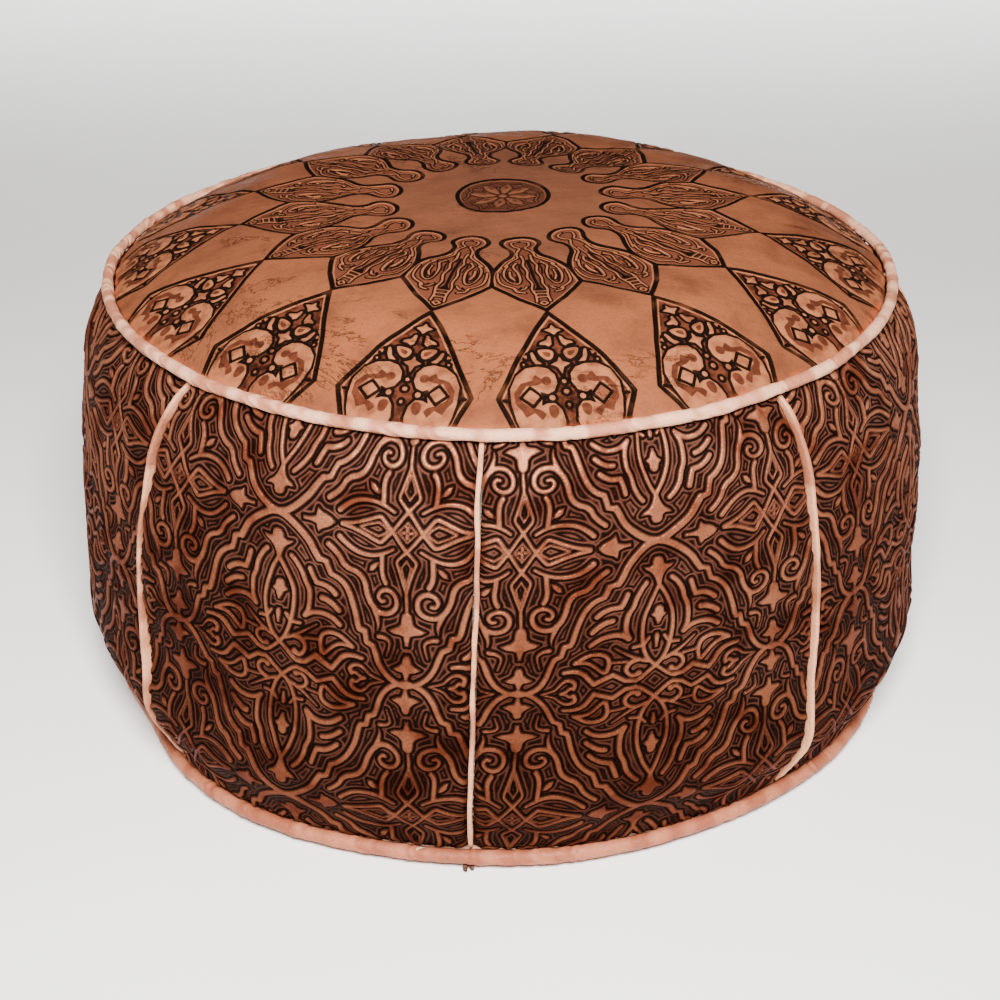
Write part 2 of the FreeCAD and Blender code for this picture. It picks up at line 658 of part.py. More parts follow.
def zip_pull():
    """A flat pull with a window; the bar at its end turns in the slider's loop."""
    bar_z = f"({CHAIN} - {{tooth_half_height}} - {{slider_gap}} - {{slider_plate}}"
    bar_z += " - {bail_room} / 2)"
    thick = (f"{bar_z} - {{pull_bar_radius}}", f"{bar_z} + {{pull_bar_radius}}")
    half = ("-{pull_half_width}", "{pull_half_width}")
    blank = box("PullBlank", ("{slider_x} - {pull_length}", "{slider_x}"), half, thick)
    window_y = ("-{pull_arm_inner}", "{pull_arm_inner}")
    window_x = ("{slider_x} - {pull_eye}", "{slider_x} + 1")
    window = box("PullWindow", window_x, window_y, (f"{thick[0]} - 1", f"{thick[1]} + 1"))
    frame = doc.addObject("Part::Cut", "PullFrame")
    frame.Base = blank
    frame.Tool = window
    bar = doc.addObject("Part::Cylinder", "PullBar")
    bar.setExpression("Radius", cell("{pull_bar_radius}"))
    bar.setExpression("Height", cell("2 * {pull_half_width}"))
    bar.Placement.Rotation = Rotation(Vector(1, 0, 0), -90)
    bar.setExpression(".Placement.Base.x", cell("{slider_x}"))
    bar.setExpression(".Placement.Base.y", cell("-{pull_half_width}"))
    bar.setExpression(".Placement.Base.z", cell(bar_z))
    pull = doc.addObject("Part::MultiFuse", "zip_pull")
    pull.Shapes = [frame, bar]
    keep(pull, "zip_pull")


def zip_stitches():
    """Two rows that sew each tape to the doubled leather beside it."""
    height = 2 * size("leather") + size("tape_thickness") + size("stitch_tail")
    reach = size("tape_half_length") - size("stitch_pitch")
    count = int(2 * reach / size("stitch_pitch"))
    lift = size("stitch_lift")
    rods = []
    for name in ("zip_stitch_near", "zip_stitch_far"):
        row = size("slot_half_width") + size(name)
        for side in (-1, 1):
            for i in range(count):
                foot = Vector(-reach + i * size("stitch_pitch"), side * row, lift)
                rods.append(Part.makeCylinder(size("thread_radius"), height - lift, foot))
    grouped("zip_stitches", rods)


def seam_tail():
    """The end of the front side welt, left long and trodden flat under the bottom welt."""
    body = new_body("seam_tail")
    outline = Outline(body, "TailOutline", "XY_Plane")
    inner = "{foot_seam_radius} - {tail_tuck}"
    outer = inner + " + {tail_length}"
    outline.rectangle(inner, outer, "-{tail_width} / 2", "{tail_width} / 2")
    pad = body.newObject("PartDesign::Pad", "Tail")
    pad.Profile = outline.sketch
    pad.setExpression("Length", cell("{tail_thickness}"))
    turn_to(body, "{front_seam_angle}")
    body.setExpression(".Placement.Base.z", cell("{tail_lift}"))


# ---------------------------------------------------------------- assembly
top_panel()
for number_of_panel in range(int(size("panel_count"))):
    side_panel(number_of_panel)
for number_of_seam in range(int(size("panel_count"))):
    side_welt(number_of_seam)
ring_welt("top", "top")
ring_welt("foot", "bottom")
base_half("base_back", "0")
base_half("base_front", "180")
filling_and_liner()
ring_stitches("top", "top")
ring_stitches("foot", "bottom")
side_stitches()
back_tape = zip_tape("zip_tape_back", 1)
front_tape = zip_tape("zip_tape_front", -1)
zip_teeth("zip_teeth_back", 1, back_tape)
zip_teeth("zip_teeth_front", -1, front_tape)
zip_stops([back_tape, front_tape])
zip_slider()
zip_pull()
zip_stitches()
seam_tail()
doc.recompute()

# ---------------------------------------------------------------- checks and files
broken = [o.Name for o in doc.Objects if "Invalid" in o.State or "Error" in o.State]
if broken:
    raise RuntimeError(f"these objects failed: {broken}")
for item in subparts:
    if item.Shape.isNull() or not item.Shape.isValid() or not item.Shape.Solids:
        raise RuntimeError(f"{item.Label} has no valid solid")
os.makedirs("parts", exist_ok=True)
for item in subparts:
    item.Shape.exportStep(f"parts/{item.Label}.step")
    print(item.Label, len(item.Shape.Solids), round(item.Shape.Volume / 1000, 2), "cm3")
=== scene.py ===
"""Looks of a leather pouf: embossed side panels, a tooled top and pale piped seams.

Shape sizes are in millimetres, and every mesh is scaled to metres when it is made.
Azimuths are in degrees from the front (-Y) towards the right (+X).
"""

import json
import math

import bpy
import numpy as np
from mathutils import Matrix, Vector

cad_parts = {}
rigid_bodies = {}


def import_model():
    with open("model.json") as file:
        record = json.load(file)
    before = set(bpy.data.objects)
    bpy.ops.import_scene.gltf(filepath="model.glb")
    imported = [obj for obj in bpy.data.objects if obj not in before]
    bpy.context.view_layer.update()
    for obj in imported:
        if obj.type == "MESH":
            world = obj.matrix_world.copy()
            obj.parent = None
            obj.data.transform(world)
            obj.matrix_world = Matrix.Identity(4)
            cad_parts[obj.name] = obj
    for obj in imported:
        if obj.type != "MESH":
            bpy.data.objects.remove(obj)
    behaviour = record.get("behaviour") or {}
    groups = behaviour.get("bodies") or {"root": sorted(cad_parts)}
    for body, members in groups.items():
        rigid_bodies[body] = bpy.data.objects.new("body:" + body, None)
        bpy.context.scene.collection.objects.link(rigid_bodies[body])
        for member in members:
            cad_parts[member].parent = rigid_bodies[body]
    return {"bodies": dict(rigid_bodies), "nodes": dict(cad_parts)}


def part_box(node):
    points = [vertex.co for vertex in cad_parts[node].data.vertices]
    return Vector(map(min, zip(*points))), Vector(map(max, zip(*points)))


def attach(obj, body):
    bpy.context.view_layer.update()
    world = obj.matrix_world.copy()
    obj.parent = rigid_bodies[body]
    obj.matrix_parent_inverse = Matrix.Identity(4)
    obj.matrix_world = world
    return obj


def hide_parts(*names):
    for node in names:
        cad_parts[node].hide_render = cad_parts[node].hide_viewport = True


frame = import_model()
# only the CAD's own objects stay
for thing in list(bpy.data.objects):
    if thing not in (*frame["nodes"].values(), *frame["bodies"].values()):
        bpy.data.objects.remove(thing)
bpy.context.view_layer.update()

MM = 0.001
PANELS = 8
PANEL_ANGLE = 360 / PANELS
# The azimuth of the front seam, and half the gap between two panels, in degrees.
FRONT_SEAM = -3.9
SEAM_GAP = 0.35
# How thick the leather is drawn.
LEATHER = 2.5

# The side's outline: three arcs that meet level at the belly and tangent at the shoulder.
FOOT = (255.1, 11.57)
BELLY = (270.0, 97.0)
SHOULDER = (260.8, 217.6)
SIDE_TOP = (238.1, 265.6)

# The top: a crown arc about the axis, then an arc down to the seam.
CROWN = 307.0
KNEE = (143.8, 300.7)
TOP_EDGE = (236.7, 267.0)

# The base: flat, then an arc up to the seam.
BASE_FLAT = 238.4
BASE_RIM = (253.9, 9.9)
SLOT_HALF_LENGTH = 204.0
SLOT_HALF_WIDTH = 9.0

# The two piped rings: radius and height of the cord's middle, and the piping's own radius.
TOP_PIPE = (239.69, 268.67, 3.35)
FOOT_PIPE = (258.43, 7.9, 4.4)
# Which way round its own tube each piping faces out, so that its seam lies opposite.
TOP_TILT = math.radians(46)
FOOT_TILT = math.radians(-35)

# The filling's outline, up from the edge of its flat base to the shoulder of its crown.
FILL_FLOOR = 11.5
FILL_WIDEST = 258.0
FILL_POINTS = (
    (226.4, FILL_FLOOR),
    (248.0, 45.0),
    (FILL_WIDEST, 97.0),
    (249.0, 195.0),
    (222.0, 253.0),
    (144.0, 293.0),
)
FILL_CROWN = 301.0


# ---------------------------------------------------------------- shapes as numbers


def arc_through(start, end, normal, count):
    """Points on the arc from start to end whose outward normal at start is given."""
    start = np.array(start, float)
    chord = np.array(end, float) - start
    normal = np.array(normal, float) / np.linalg.norm(normal)
    radius = -(chord @ chord) / (2 * chord @ normal)
    centre = start - radius * normal
    first = math.atan2(*(start - centre)[::-1])
    last = math.atan2(*(start + chord - centre)[::-1])
    turn = (last - first + math.pi) % (2 * math.pi) - math.pi
    angles = first + turn * np.linspace(0, 1, count)
    return centre + abs(radius) * np.stack([np.cos(angles), np.sin(angles)], 1)


class Outline:
    """A curve in the (radius, height) plane, read by its length from the start."""

    def __init__(self, points):
        self.points = np.array(points, float)
        steps = np.linalg.norm(np.diff(self.points, axis=0), axis=1)
        self.along = np.concatenate([[0], np.cumsum(steps)])
        self.length = self.along[-1]

    def at(self, distance):
        """Radius and height at a distance along the curve."""
        radius = np.interp(distance, self.along, self.points[:, 0])
        height = np.interp(distance, self.along, self.points[:, 1])
        return radius, height

    def normal(self, distance, span=2.0):
        """The unit normal: outwards on a curve that runs out and down, inwards on one that rises."""
        r0, z0 = self.at(np.clip(distance - span, 0, self.length))
        r1, z1 = self.at(np.clip(distance + span, 0, self.length))
        size = np.maximum(np.hypot(r1 - r0, z1 - z0), 1e-9)
        return (z0 - z1) / size, (r1 - r0) / size


def side_outline():
    """The side panel's outer face, from the top seam down to the foot seam."""
    down = arc_through(BELLY, FOOT, (1, 0), 90)
    up = arc_through(BELLY, SHOULDER, (1, 0), 90)
    n = np.array([SHOULDER[0] - up[-2][0], SHOULDER[1] - up[-2][1]])
    top = arc_through(SHOULDER, SIDE_TOP, (n[1], -n[0]), 60)
    return Outline(np.concatenate([top[::-1], up[::-1][1:], down[1:]]))


def top_outline():
    """The top panel's outer face, from the middle out to the seam."""
    sagitta = CROWN - KNEE[1]
    radius = (KNEE[0] ** 2 + sagitta**2) / (2 * sagitta)
    swing = math.asin(KNEE[0] / radius)
    angles = np.linspace(0, swing, 90)
    crown = np.stack([radius * np.sin(angles), CROWN - radius * (1 - np.cos(angles))], 1)
    edge = arc_through(KNEE, TOP_EDGE, (math.sin(swing), math.cos(swing)), 90)
    return Outline(np.concatenate([crown, edge[1:]]))


def smooth_noise(x, y, z, scale, seed):
    """Repeatable soft noise, mostly in -1..1: two octaves of sine waves in seeded directions."""
    draw = np.random.default_rng(seed)
    total = np.zeros(np.broadcast(x, y, z).shape)
    weight = 0.0
    for octave in range(2):
        for _ in range(7):
            direction = draw.normal(size=3)
            direction *= 2 * math.pi * 2**octave / (scale * np.linalg.norm(direction))
            phase = draw.uniform(0, 2 * math.pi)
            wave = np.sin(direction[0] * x + direction[1] * y + direction[2] * z + phase)
            total = total + wave * 0.55**octave
        weight += 2.2 * 0.55**octave
    return np.clip(total / weight, -1.3, 1.3)


# Where the foot of the cover is pulled in (-) or spread out (+): azimuth, half-width in degrees,
# and millimetres.
FOOT_SAGS = (
    (-61, 10, -7.0),
    (-33, 13, 4.2),
    (30, 14, -2.2),
    (82, 18, -5.0),
    (-84, 16, -5.0),
    (165, 30, 2.0),
)
# How far the top ring dips in front, at the sides and behind.
FRONT_DIP = 2.6
SIDE_DIP = 1.0
BACK_DIP = 5.0
# The fold of slack leather low on the sides: how far it stands out, at what height, how tall.
PAUNCH = 7.6
PAUNCH_HEIGHT = 50
PAUNCH_SPREAD = 24


def settle(points):
    """The sewn cover's uneven sag: a dipping top ring, an uneven girth and a slack, wavy foot."""
    x, y, z = points[:, 0], points[:, 1], points[:, 2]
    azimuth = np.arctan2(x, -y)
    radius = np.maximum(np.hypot(x, y), 1)
    moved = points.copy()
    # the top ring dips, and the sides' upper half follows it
    share = np.clip((z - 150) / 110, 0, 1) ** 1.5
    ring = np.clip(np.hypot(x, y) / 240, 0, 1) ** 2
    behind = np.clip(-np.cos(azimuth), 0, 1)
    dip = -FRONT_DIP * np.exp(-((azimuth + 0.06) ** 2) / 0.4) - SIDE_DIP * np.sin(azimuth) ** 2
    dip = dip - BACK_DIP * behind * (2 - behind)
    moved[:, 2] += dip * share * ring
    # the girth isn't quite round
    girth = 1.3 * np.sin(2 * azimuth + 0.7) + 0.9 * np.sin(3 * azimuth + 2.1)
    body = np.clip(z / 60, 0, 1) * np.clip((265 - z) / 60, 0, 1)
    # the foot is pulled in here and there, and slack leather hangs above it
    pull = sum(d * np.exp(-(((np.degrees(azimuth) - a) / w) ** 2)) for a, w, d in FOOT_SAGS)
    low = np.clip((62 - z) / 46, 0, 1)
    outside = np.clip((radius - 150) / 90, 0, 1) ** 2
    paunch = PAUNCH * np.exp(-(((z - PAUNCH_HEIGHT) / PAUNCH_SPREAD) ** 2))
    shift = girth * body + paunch * outside + pull * low * low * (3 - 2 * low) * outside
    moved[:, 0] += shift * x / radius
    moved[:, 1] += shift * y / radius
    return moved


# For each side seam from the front one round: how far it stands off its meridian, in degrees, at
# the top, the middle and the foot.
SEAM_BOW = (
    (1.6, 0.95, 0.2),
    (-2.4, 0.0, -1.2),
    (0.8, -0.6, 0.3),
    (-0.9, 0.5, 0.2),
    (0.6, -0.8, -0.4),
    (-0.5, 0.9, 0.3),
    (0.7, -0.9, 0.4),
    (4.2, -2.0, 0.6),
)


def seam_bow(azimuth, height):
    """How far, in degrees, the uneven sewing carries a point of the sides round the pouf."""
    share = (height - FOOT[1]) / (SIDE_TOP[1] - FOOT[1])
    bow = 0 * (azimuth + share)
    for number, (top, middle, foot) in enumerate(SEAM_BOW):
        away = (azimuth - FRONT_SEAM - PANEL_ANGLE * number + 180) % 360 - 180
        near = np.cos(np.radians(np.clip(away / PANEL_ANGLE, -1, 1) * 90)) ** 2
        level = foot * (1 - share) * (1 - 2 * share) + top * share * (2 * share - 1)
        bow = bow + near * (level + middle * 4 * share * (1 - share))
    return bow


def around(radius, azimuth, height):
    """Points from radius, azimuth in degrees from the front, and height."""
    turn = np.radians(azimuth)
    return np.stack(
        np.broadcast_arrays(radius * np.sin(turn), -radius * np.cos(turn), height), -1
    )


# ---------------------------------------------------------------- meshes


def make_mesh(name, points, faces, values=None, settled=True):
    """An object from points in millimetres and faces: arrays of quads or lists of corners."""
    points = np.asarray(points, float).reshape(-1, 3)
    if settled:
        points = settle(points)
    sizes = np.concatenate([np.full(len(f), np.shape(f)[1]) for f in faces])
    corners = np.concatenate([np.asarray(f).ravel() for f in faces])
    mesh = bpy.data.meshes.new(name)
    mesh.vertices.add(len(points))
    mesh.vertices.foreach_set("co", (points * MM).astype(np.float32).ravel())
    mesh.loops.add(len(corners))
    mesh.loops.foreach_set("vertex_index", corners.astype(np.int32))
    mesh.polygons.add(len(sizes))
    starts = np.concatenate([[0], np.cumsum(sizes)[:-1]])
    mesh.polygons.foreach_set("loop_start", starts.astype(np.int32))
    mesh.update(calc_edges=True)
    mesh.validate()
    mesh.shade_smooth()
    for key, field in (values or {}).items():
        attribute = mesh.attributes.new(key, "FLOAT", "POINT")
        attribute.data.foreach_set("value", np.asarray(field, np.float32).ravel())
    thing = bpy.data.objects.new(name, mesh)
    bpy.context.scene.collection.objects.link(thing)
    return thing


def joined_round(index):
    """Adds the first column of a grid of point numbers again after its last."""
    return np.concatenate([index, index[:, :1]], 1)


def quads(index, turned=False):
    """The faces between neighbouring rows and columns of a grid of point numbers."""
    corners = [index[:-1, :-1], index[:-1, 1:], index[1:, 1:], index[1:, :-1]]
    if turned:
        corners[1], corners[3] = corners[3], corners[1]
    return np.stack(corners, -1).reshape(-1, 4)


def grid_faces(rows, columns, start=0, closed=False, flip=False):
    """Quads over a grid of points; closed joins the last column to the first."""
    index = start + np.arange(rows * columns).reshape(rows, columns)
    made = quads(joined_round(index) if closed else index)
    return made[:, ::-1] if flip else made


def every(step):
    """Every step-th row and column of a grid."""
    return slice(None, None, step), slice(None, None, step)


def leather_sheet(name, outer, inner, step, values, flip=False):
    """A closed sheet of leather: a fine outer grid, a coarse inner one and a rim between.

    inner holds every step-th point of outer, moved inwards by the leather's thickness.
    """
    rows, columns = outer.shape[:2]
    inner_rows, inner_columns = inner.shape[:2]
    fine = np.arange(rows * columns).reshape(rows, columns)
    coarse = rows * columns + np.arange(inner_rows * inner_columns)
    coarse = coarse.reshape(inner_rows, inner_columns)
    rim_fine = np.concatenate([fine[0, :-1], fine[:-1, -1], fine[-1, :0:-1], fine[:0:-1, 0]])
    rim_coarse = np.concatenate(
        [coarse[0, :-1], coarse[:-1, -1], coarse[-1, :0:-1], coarse[:0:-1, 0]]
    )
    rim_fine = np.append(rim_fine, rim_fine[0])
    rim_coarse = np.append(rim_coarse, rim_coarse[0])
    spans = np.arange(0, len(rim_fine) - 1, step)
    rim = np.stack([rim_fine[spans + k] for k in range(step, -1, -1)], 1)
    rim = np.concatenate([rim, np.stack([rim_coarse[:-1], rim_coarse[1:]], 1)], 1)
    outside = grid_faces(rows, columns, flip=flip)
    inside = grid_faces(inner_rows, inner_columns, rows * columns, flip=not flip)
    faces = [outside, inside, rim[:, ::-1] if flip else rim]
    points = np.concatenate([outer.reshape(-1, 3), inner.reshape(-1, 3)])
    blank = np.zeros(inner_rows * inner_columns)
    full = {k: np.concatenate([np.ravel(v), blank - 9]) for k, v in values.items()}
    return make_mesh(name, points, faces, full)


def finish_piece(piece, material, stands_for, body="cover"):
    """Gives a new piece its material and its body, and hides the CAD nodes it stands for."""
    piece.data.materials.clear()
    piece.data.materials.append(material)
    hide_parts(*stands_for)
    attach(piece, body)
    return piece


# ---------------------------------------------------------------- ornament as distances


def rounded(points, closed=False, pieces=5):
    """A smooth line through given points (Catmull-Rom)."""
    p = np.array(points, float)
    if closed:
        p = np.concatenate([p[-1:], p, p[:2]])
    else:
        p = np.concatenate([[2 * p[0] - p[1]], p, [2 * p[-1] - p[-2]]])
    t = np.linspace(0, 1, pieces, endpoint=False)[:, None]
    made = []
    for a, b, c, d in zip(p[:-3], p[1:-2], p[2:-1], p[3:]):
        made.append(
            0.5 * (2 * b + (c - a) * t + (2 * a - 5 * b + 4 * c - d) * t**2)
            + 0.5 * (3 * b - a - 3 * c + d) * t**3
        )
    return np.concatenate([*made, p[-2:-1]])


class Stencil:
    """A raster of signed distances in millimetres to drawn shapes, positive inside them."""

    # Distances are kept this far from a shape; beyond it the raster holds -REACH.
    REACH = 9.0
    PITCH = 0.3

    def __init__(self, low, high):
        self.low = np.array(low, float)
        shape = np.ceil((np.array(high, float) - self.low) / self.PITCH).astype(int) + 1
        self.value = np.full(shape, -self.REACH)

    def window(self, points):
        """The part of the raster that some points can reach, and its two coordinates."""
        a = np.floor((points.min(0) - self.REACH - self.low) / self.PITCH).astype(int)
        b = np.ceil((points.max(0) + self.REACH - self.low) / self.PITCH).astype(int) + 1
        a = np.clip(a, 0, self.value.shape)
        b = np.clip(b, a, self.value.shape)
        u = self.low[0] + self.PITCH * np.arange(a[0], b[0])[:, None]
        v = self.low[1] + self.PITCH * np.arange(a[1], b[1])[None, :]
        return (slice(a[0], b[0]), slice(a[1], b[1])), u, v

    @staticmethod
    def gap(u, v, a, b):
        """Distance and share along the segment from a to b."""
        ab = b - a
        t = ((u - a[0]) * ab[0] + (v - a[1]) * ab[1]) / max(ab @ ab, 1e-9)
        t = np.clip(t, 0, 1)
        return np.hypot(u - a[0] - t * ab[0], v - a[1] - t * ab[1]), t

    def stroke(self, points, half, end=None, closed=False, sharp=False):
        """A band of that half width, or one that tapers from half to end."""
        if not sharp:
            points = rounded(points, closed)
        elif closed:
            points = [*points, points[0]]
        points = np.array(points, float)
        widths = np.linspace(half, half if end is None else end, len(points))
        for a, b, wa, wb in zip(points[:-1], points[1:], widths[:-1], widths[1:]):
            spot, u, v = self.window(np.array([a, b]))
            d, t = self.gap(u, v, a, b)
            self.value[spot] = np.maximum(self.value[spot], wa + (wb - wa) * t - d)

    def patch(self, points, sharp=True):
        """A filled outline."""
        points = np.array(points, float) if sharp else rounded(points, closed=True)
        spot, u, v = self.window(points)
        nearest = np.full(np.broadcast(u, v).shape, 1e9)
        inside = np.zeros(nearest.shape, bool)
        for a, b in zip(points, np.roll(points, -1, axis=0)):
            nearest = np.minimum(nearest, self.gap(u, v, a, b)[0])
            if a[1] != b[1]:
                crosses = (a[1] > v) != (b[1] > v)
                inside ^= crosses & (u < a[0] + (v - a[1]) * (b[0] - a[0]) / (b[1] - a[1]))
        signed = np.where(inside, nearest, -nearest)
        self.value[spot] = np.maximum(self.value[spot], signed)

    def dot(self, centre, radius):
        """A filled circle."""
        self.stroke([centre, (centre[0] + 0.01, centre[1])], radius, sharp=True)

    def read(self, u, v):
        """The distance at each (u, v), read between the raster's points."""
        i = np.clip((u - self.low[0]) / self.PITCH, 0, self.value.shape[0] - 1.001)
        j = np.clip((v - self.low[1]) / self.PITCH, 0, self.value.shape[1] - 1.001)
        i0, j0 = i.astype(int), j.astype(int)
        fi, fj = i - i0, j - j0
        near = self.value[i0, j0] * (1 - fj) + self.value[i0, j0 + 1] * fj
        far = self.value[i0 + 1, j0] * (1 - fj) + self.value[i0 + 1, j0 + 1] * fj
        return near * (1 - fi) + far * fi


# The quarter tile's two sides, and how far its drawing is kept beyond them.
TILE = (73.0, 89.0)
TILE_REACH = 12.0


def side_ornament():
    """The embossed tile: a quarter of the repeat, mirrored about all four of its sides.

    (0, 0) is where the ogee bands cross, (73, 0) the middle of the lozenge.
    """
    art = Stencil((-TILE_REACH, -TILE_REACH), (TILE[0] + TILE_REACH, TILE[1] + TILE_REACH))
    # main ogee: a smooth arc, a step, a second arc, two steps, and the run to its foot
    art.stroke(
        [(0, 0), (4, 1), (7.5, 2.9), (11, 5.4), (15, 8.8), (18.5, 12.7), (21.2, 17.5), (23.7, 21.7)],
        2.0,
    )
    art.stroke([(23.4, 21.2), (28, 22.8), (29, 26.5), (30.3, 30.3)], 1.7, sharp=True)
    art.stroke([(30.3, 30.3), (34.5, 32.6), (38.5, 36.7), (41.5, 42.5), (43.7, 49.5), (45.5, 57)], 1.75)
    art.stroke(
        [(45.5, 57), (46.5, 59.4), (49.7, 60), (51, 66), (54.5, 67.7), (56, 71.5)],
        1.65,
        sharp=True,
    )
    art.stroke([(56, 71.5), (58.3, 78.5), (62, 84.5), (67, 88.3), (73, 90.3)], 1.7)
    # tulips above and beside the crossing
    art.patch(
        [
            (0, 9.3), (2.2, 9.8), (3.4, 12), (3.3, 13.8), (5, 14.8), (8.9, 14.4), (7.4, 16.5),
            (4.8, 18.2), (3.2, 20.3), (2.1, 23), (1.2, 27), (-1, 27), (-1, 9.3),
        ],
    )
    art.patch(
        [
            (14.5, 0), (16.5, 0.9), (19.5, 1.3), (22, 2.2), (22.4, 4.4), (23.2, 6.7), (25.5, 4.7),
            (28.5, 3.7), (31, 2.4), (32.8, 0), (32.8, -1), (14.5, -1),
        ],
    )
    # vesica: the thin inner band, the outer band and the wave it ends in
    art.stroke(
        [
            (0, 26), (1.6, 28.5), (4.2, 33.5), (6.2, 39), (7.9, 44.5), (8.7, 50.5), (8.6, 57),
            (7.7, 63.5), (6.3, 69), (3.8, 74), (0, 78.3), (-4, 82), (-8, 85.5), (-11.2, 87),
        ],
        1.35,
    )
    art.stroke(
        [
            (7.5, 23.3), (10.4, 26.6), (13.3, 32), (14.8, 38), (17, 43), (17.7, 49), (17.2, 55),
            (15.2, 59.8),
        ],
        1.55,
    )
    art.stroke([(15.2, 59.8), (19, 57), (23, 55.8), (27.5, 56), (31.7, 57.5), (35.5, 60.3)], 1.6)
    art.stroke([(4.4, 61), (7.2, 65), (12.6, 65.4)], 1.1, sharp=True)
    # two feather fingers
    art.stroke([(18.3, 28.8), (20, 34.5), (21.4, 38)], 1.6)
    art.stroke([(21.4, 38), (26, 38.5), (30, 40.4), (33, 43)], 1.7)
    art.stroke([(24.8, 46.5), (28.2, 47.2), (32, 49.4), (35, 52)], 1.7)
    # tulip and bud inside the vesica
    art.patch(
        [(-1, 39.3), (1.2, 39.5), (2.6, 41), (3, 44), (5, 46), (2.4, 48), (1.7, 50.5), (0, 53), (-1, 53)],
    )
    art.patch([(-1, 58.7), (0.8, 58.9), (1.7, 60.5), (1.4, 63.8), (0.5, 67.3), (-1, 67.3)])
    # second outer band, running into the scroll
    art.stroke([(29, 12.7), (32.5, 15.6), (35.5, 19), (37.2, 22.4)], 1.6)
    art.stroke(
        [(37.2, 22.4), (40, 25), (44, 26.6), (47.3, 29.4), (49.2, 33.3), (50.4, 38.5), (52.3, 43.3)],
        1.7,
    )
    art.stroke(
        [
            (52.3, 43.3), (55, 46.9), (59, 48.5), (63.6, 47.4), (66.7, 44), (67.3, 39.5), (65.4, 36.1),
            (62, 34.9), (58.5, 36.2), (56.9, 39.2), (58.3, 41.7), (60.3, 41.3),
        ],
        1.75,
        1.1,
    )
    art.stroke([(54.6, 46.3), (56, 51), (56.8, 55), (56.5, 58.5)], 1.9, 0.4)
    # long-tailed rhomb beside the lozenge, with the smaller rhomb inside it
    art.stroke(
        [(37, 0.3), (44, 1.9), (50.3, 4.4), (55, 6.6), (58.5, 7.7), (60.5, 6), (63, 2.8), (65.3, 0)],
        1.25,
    )
    art.stroke([(47.5, 0), (52, 2.1), (57.7, 4.2), (61.2, 1.9), (62.8, 0)], 0.75, sharp=True)
    # curved band above it, its leg and the leaf bud
    art.stroke(
        [
            (35.5, 7.7), (38.5, 10.6), (43, 13.9), (48, 15.7), (53.5, 16), (58, 15), (62, 13.2),
            (65.8, 10.8),
        ],
        1.65,
        1.0,
    )
    art.stroke([(59.5, 15), (59.2, 20), (59.1, 25), (60, 29), (61.3, 31.3)], 1.5)
    art.patch([(51.3, 25.6), (52, 22.3), (54.3, 20.4), (57, 19.8), (56.2, 22.7), (54.2, 25)])
    # the lozenge: crossing bands, a small diamond with its flower, and the tall rhomb
    art.stroke([(65.3, 0), (69.8, 7), (73, 11.5), (74.5, 13.6)], 1.1, sharp=True)
    art.stroke(
        [(74.5, 9.2), (73, 11.5), (70, 15.2), (67.8, 18.8), (69.2, 24), (71.2, 30), (73, 36.5), (73, 45)],
        1.15,
        0.8,
    )
    art.stroke([(73, 17.5), (70.5, 22), (71.7, 27.5), (73, 31.5)], 0.6, sharp=True)
    art.stroke([(68.3, 0), (73, 5.7)], 0.55, sharp=True)
    art.stroke([(73, 1.2), (73, 3)], 0.8, sharp=True)
    art.stroke([(71.8, 0), (70.6, 0)], 0.8, sharp=True)
    # four-pointed star, hooks beside it and the small quatrefoil
    art.patch(
        [
            (74, 45.7), (72, 45.9), (70.4, 47.2), (69.8, 50), (69.6, 52.8), (68, 54.8), (65.3, 56.2),
            (62.4, 57.6), (65.5, 59.5), (69, 60), (71, 60.8), (71.4, 63.3), (72.3, 65.8), (74, 66.6),
        ],
    )
    art.stroke([(57.2, 61.8), (60.5, 62.2), (63.3, 64.2), (63.3, 67.3), (61.9, 72.5)], 1.35, 0.5)
    art.patch(
        [
            (74, 71), (71.6, 71.6), (70.7, 73), (70.4, 75.3), (68.5, 77.5), (65, 79.5), (68.3, 81.3),
            (70.8, 81.6), (71.5, 84), (72.6, 86), (74, 86),
        ],
    )
    # vine, scroll, connector and heart loop at the foot of the vesica
    art.stroke([(4.3, 74.7), (7.5, 73.8), (11, 71.9), (15, 69.4), (19, 66.4), (22.2, 63.8)], 1.35, 0.5)
    art.stroke([(9.3, 72.9), (13.3, 74.1), (15.7, 76.9), (15.6, 80.1), (13, 82.7), (9.7, 82.6)], 1.35)
    art.dot((9.3, 81.8), 1.9)
    art.stroke([(15.7, 73.3), (25, 72.7)], 0.85, sharp=True)
    art.stroke([(25.6, 78.4), (24.7, 73.2), (26.2, 68.6), (31, 66.4), (37, 67.4), (43.3, 71.3)], 1.4)
    art.stroke([(43.3, 71.3), (37, 71.7), (33, 73.9), (29.6, 77.2), (27.3, 79.2), (25.6, 78.4)], 1.2)
    # zigzag band that runs out to a leaf tip, and the palmette behind it
    art.stroke([(10.8, 86.8), (16.2, 86), (22.3, 81.3), (32.2, 86), (37.3, 79.2)], 1.55, sharp=True)
    art.stroke([(37.3, 79.2), (40.2, 77.2), (44.3, 76.2), (49, 76.4)], 1.65, 1.2)
    art.stroke(
        [(43, 86.6), (42.3, 83.7), (44.6, 81.4), (47.8, 81.2), (50.6, 83.3), (53.4, 86.4), (60.5, 89)],
        1.5,
        0.6,
    )
    art.stroke([(43, 86.6), (45.3, 86.2), (47.2, 88), (50, 89)], 1.0)
    return mirrored_tile(art)


def mirrored_ends(value, margin, last):
    """Joins a raster's rows with their mirror images about the tile's two ends."""
    joined = value.copy()
    joined[: 2 * margin + 1] = np.maximum(value[: 2 * margin + 1], value[2 * margin :: -1])
    tail = last - 2 * margin
    joined[tail:] = np.maximum(value[tail:], value[: tail - 1 : -1])
    return joined


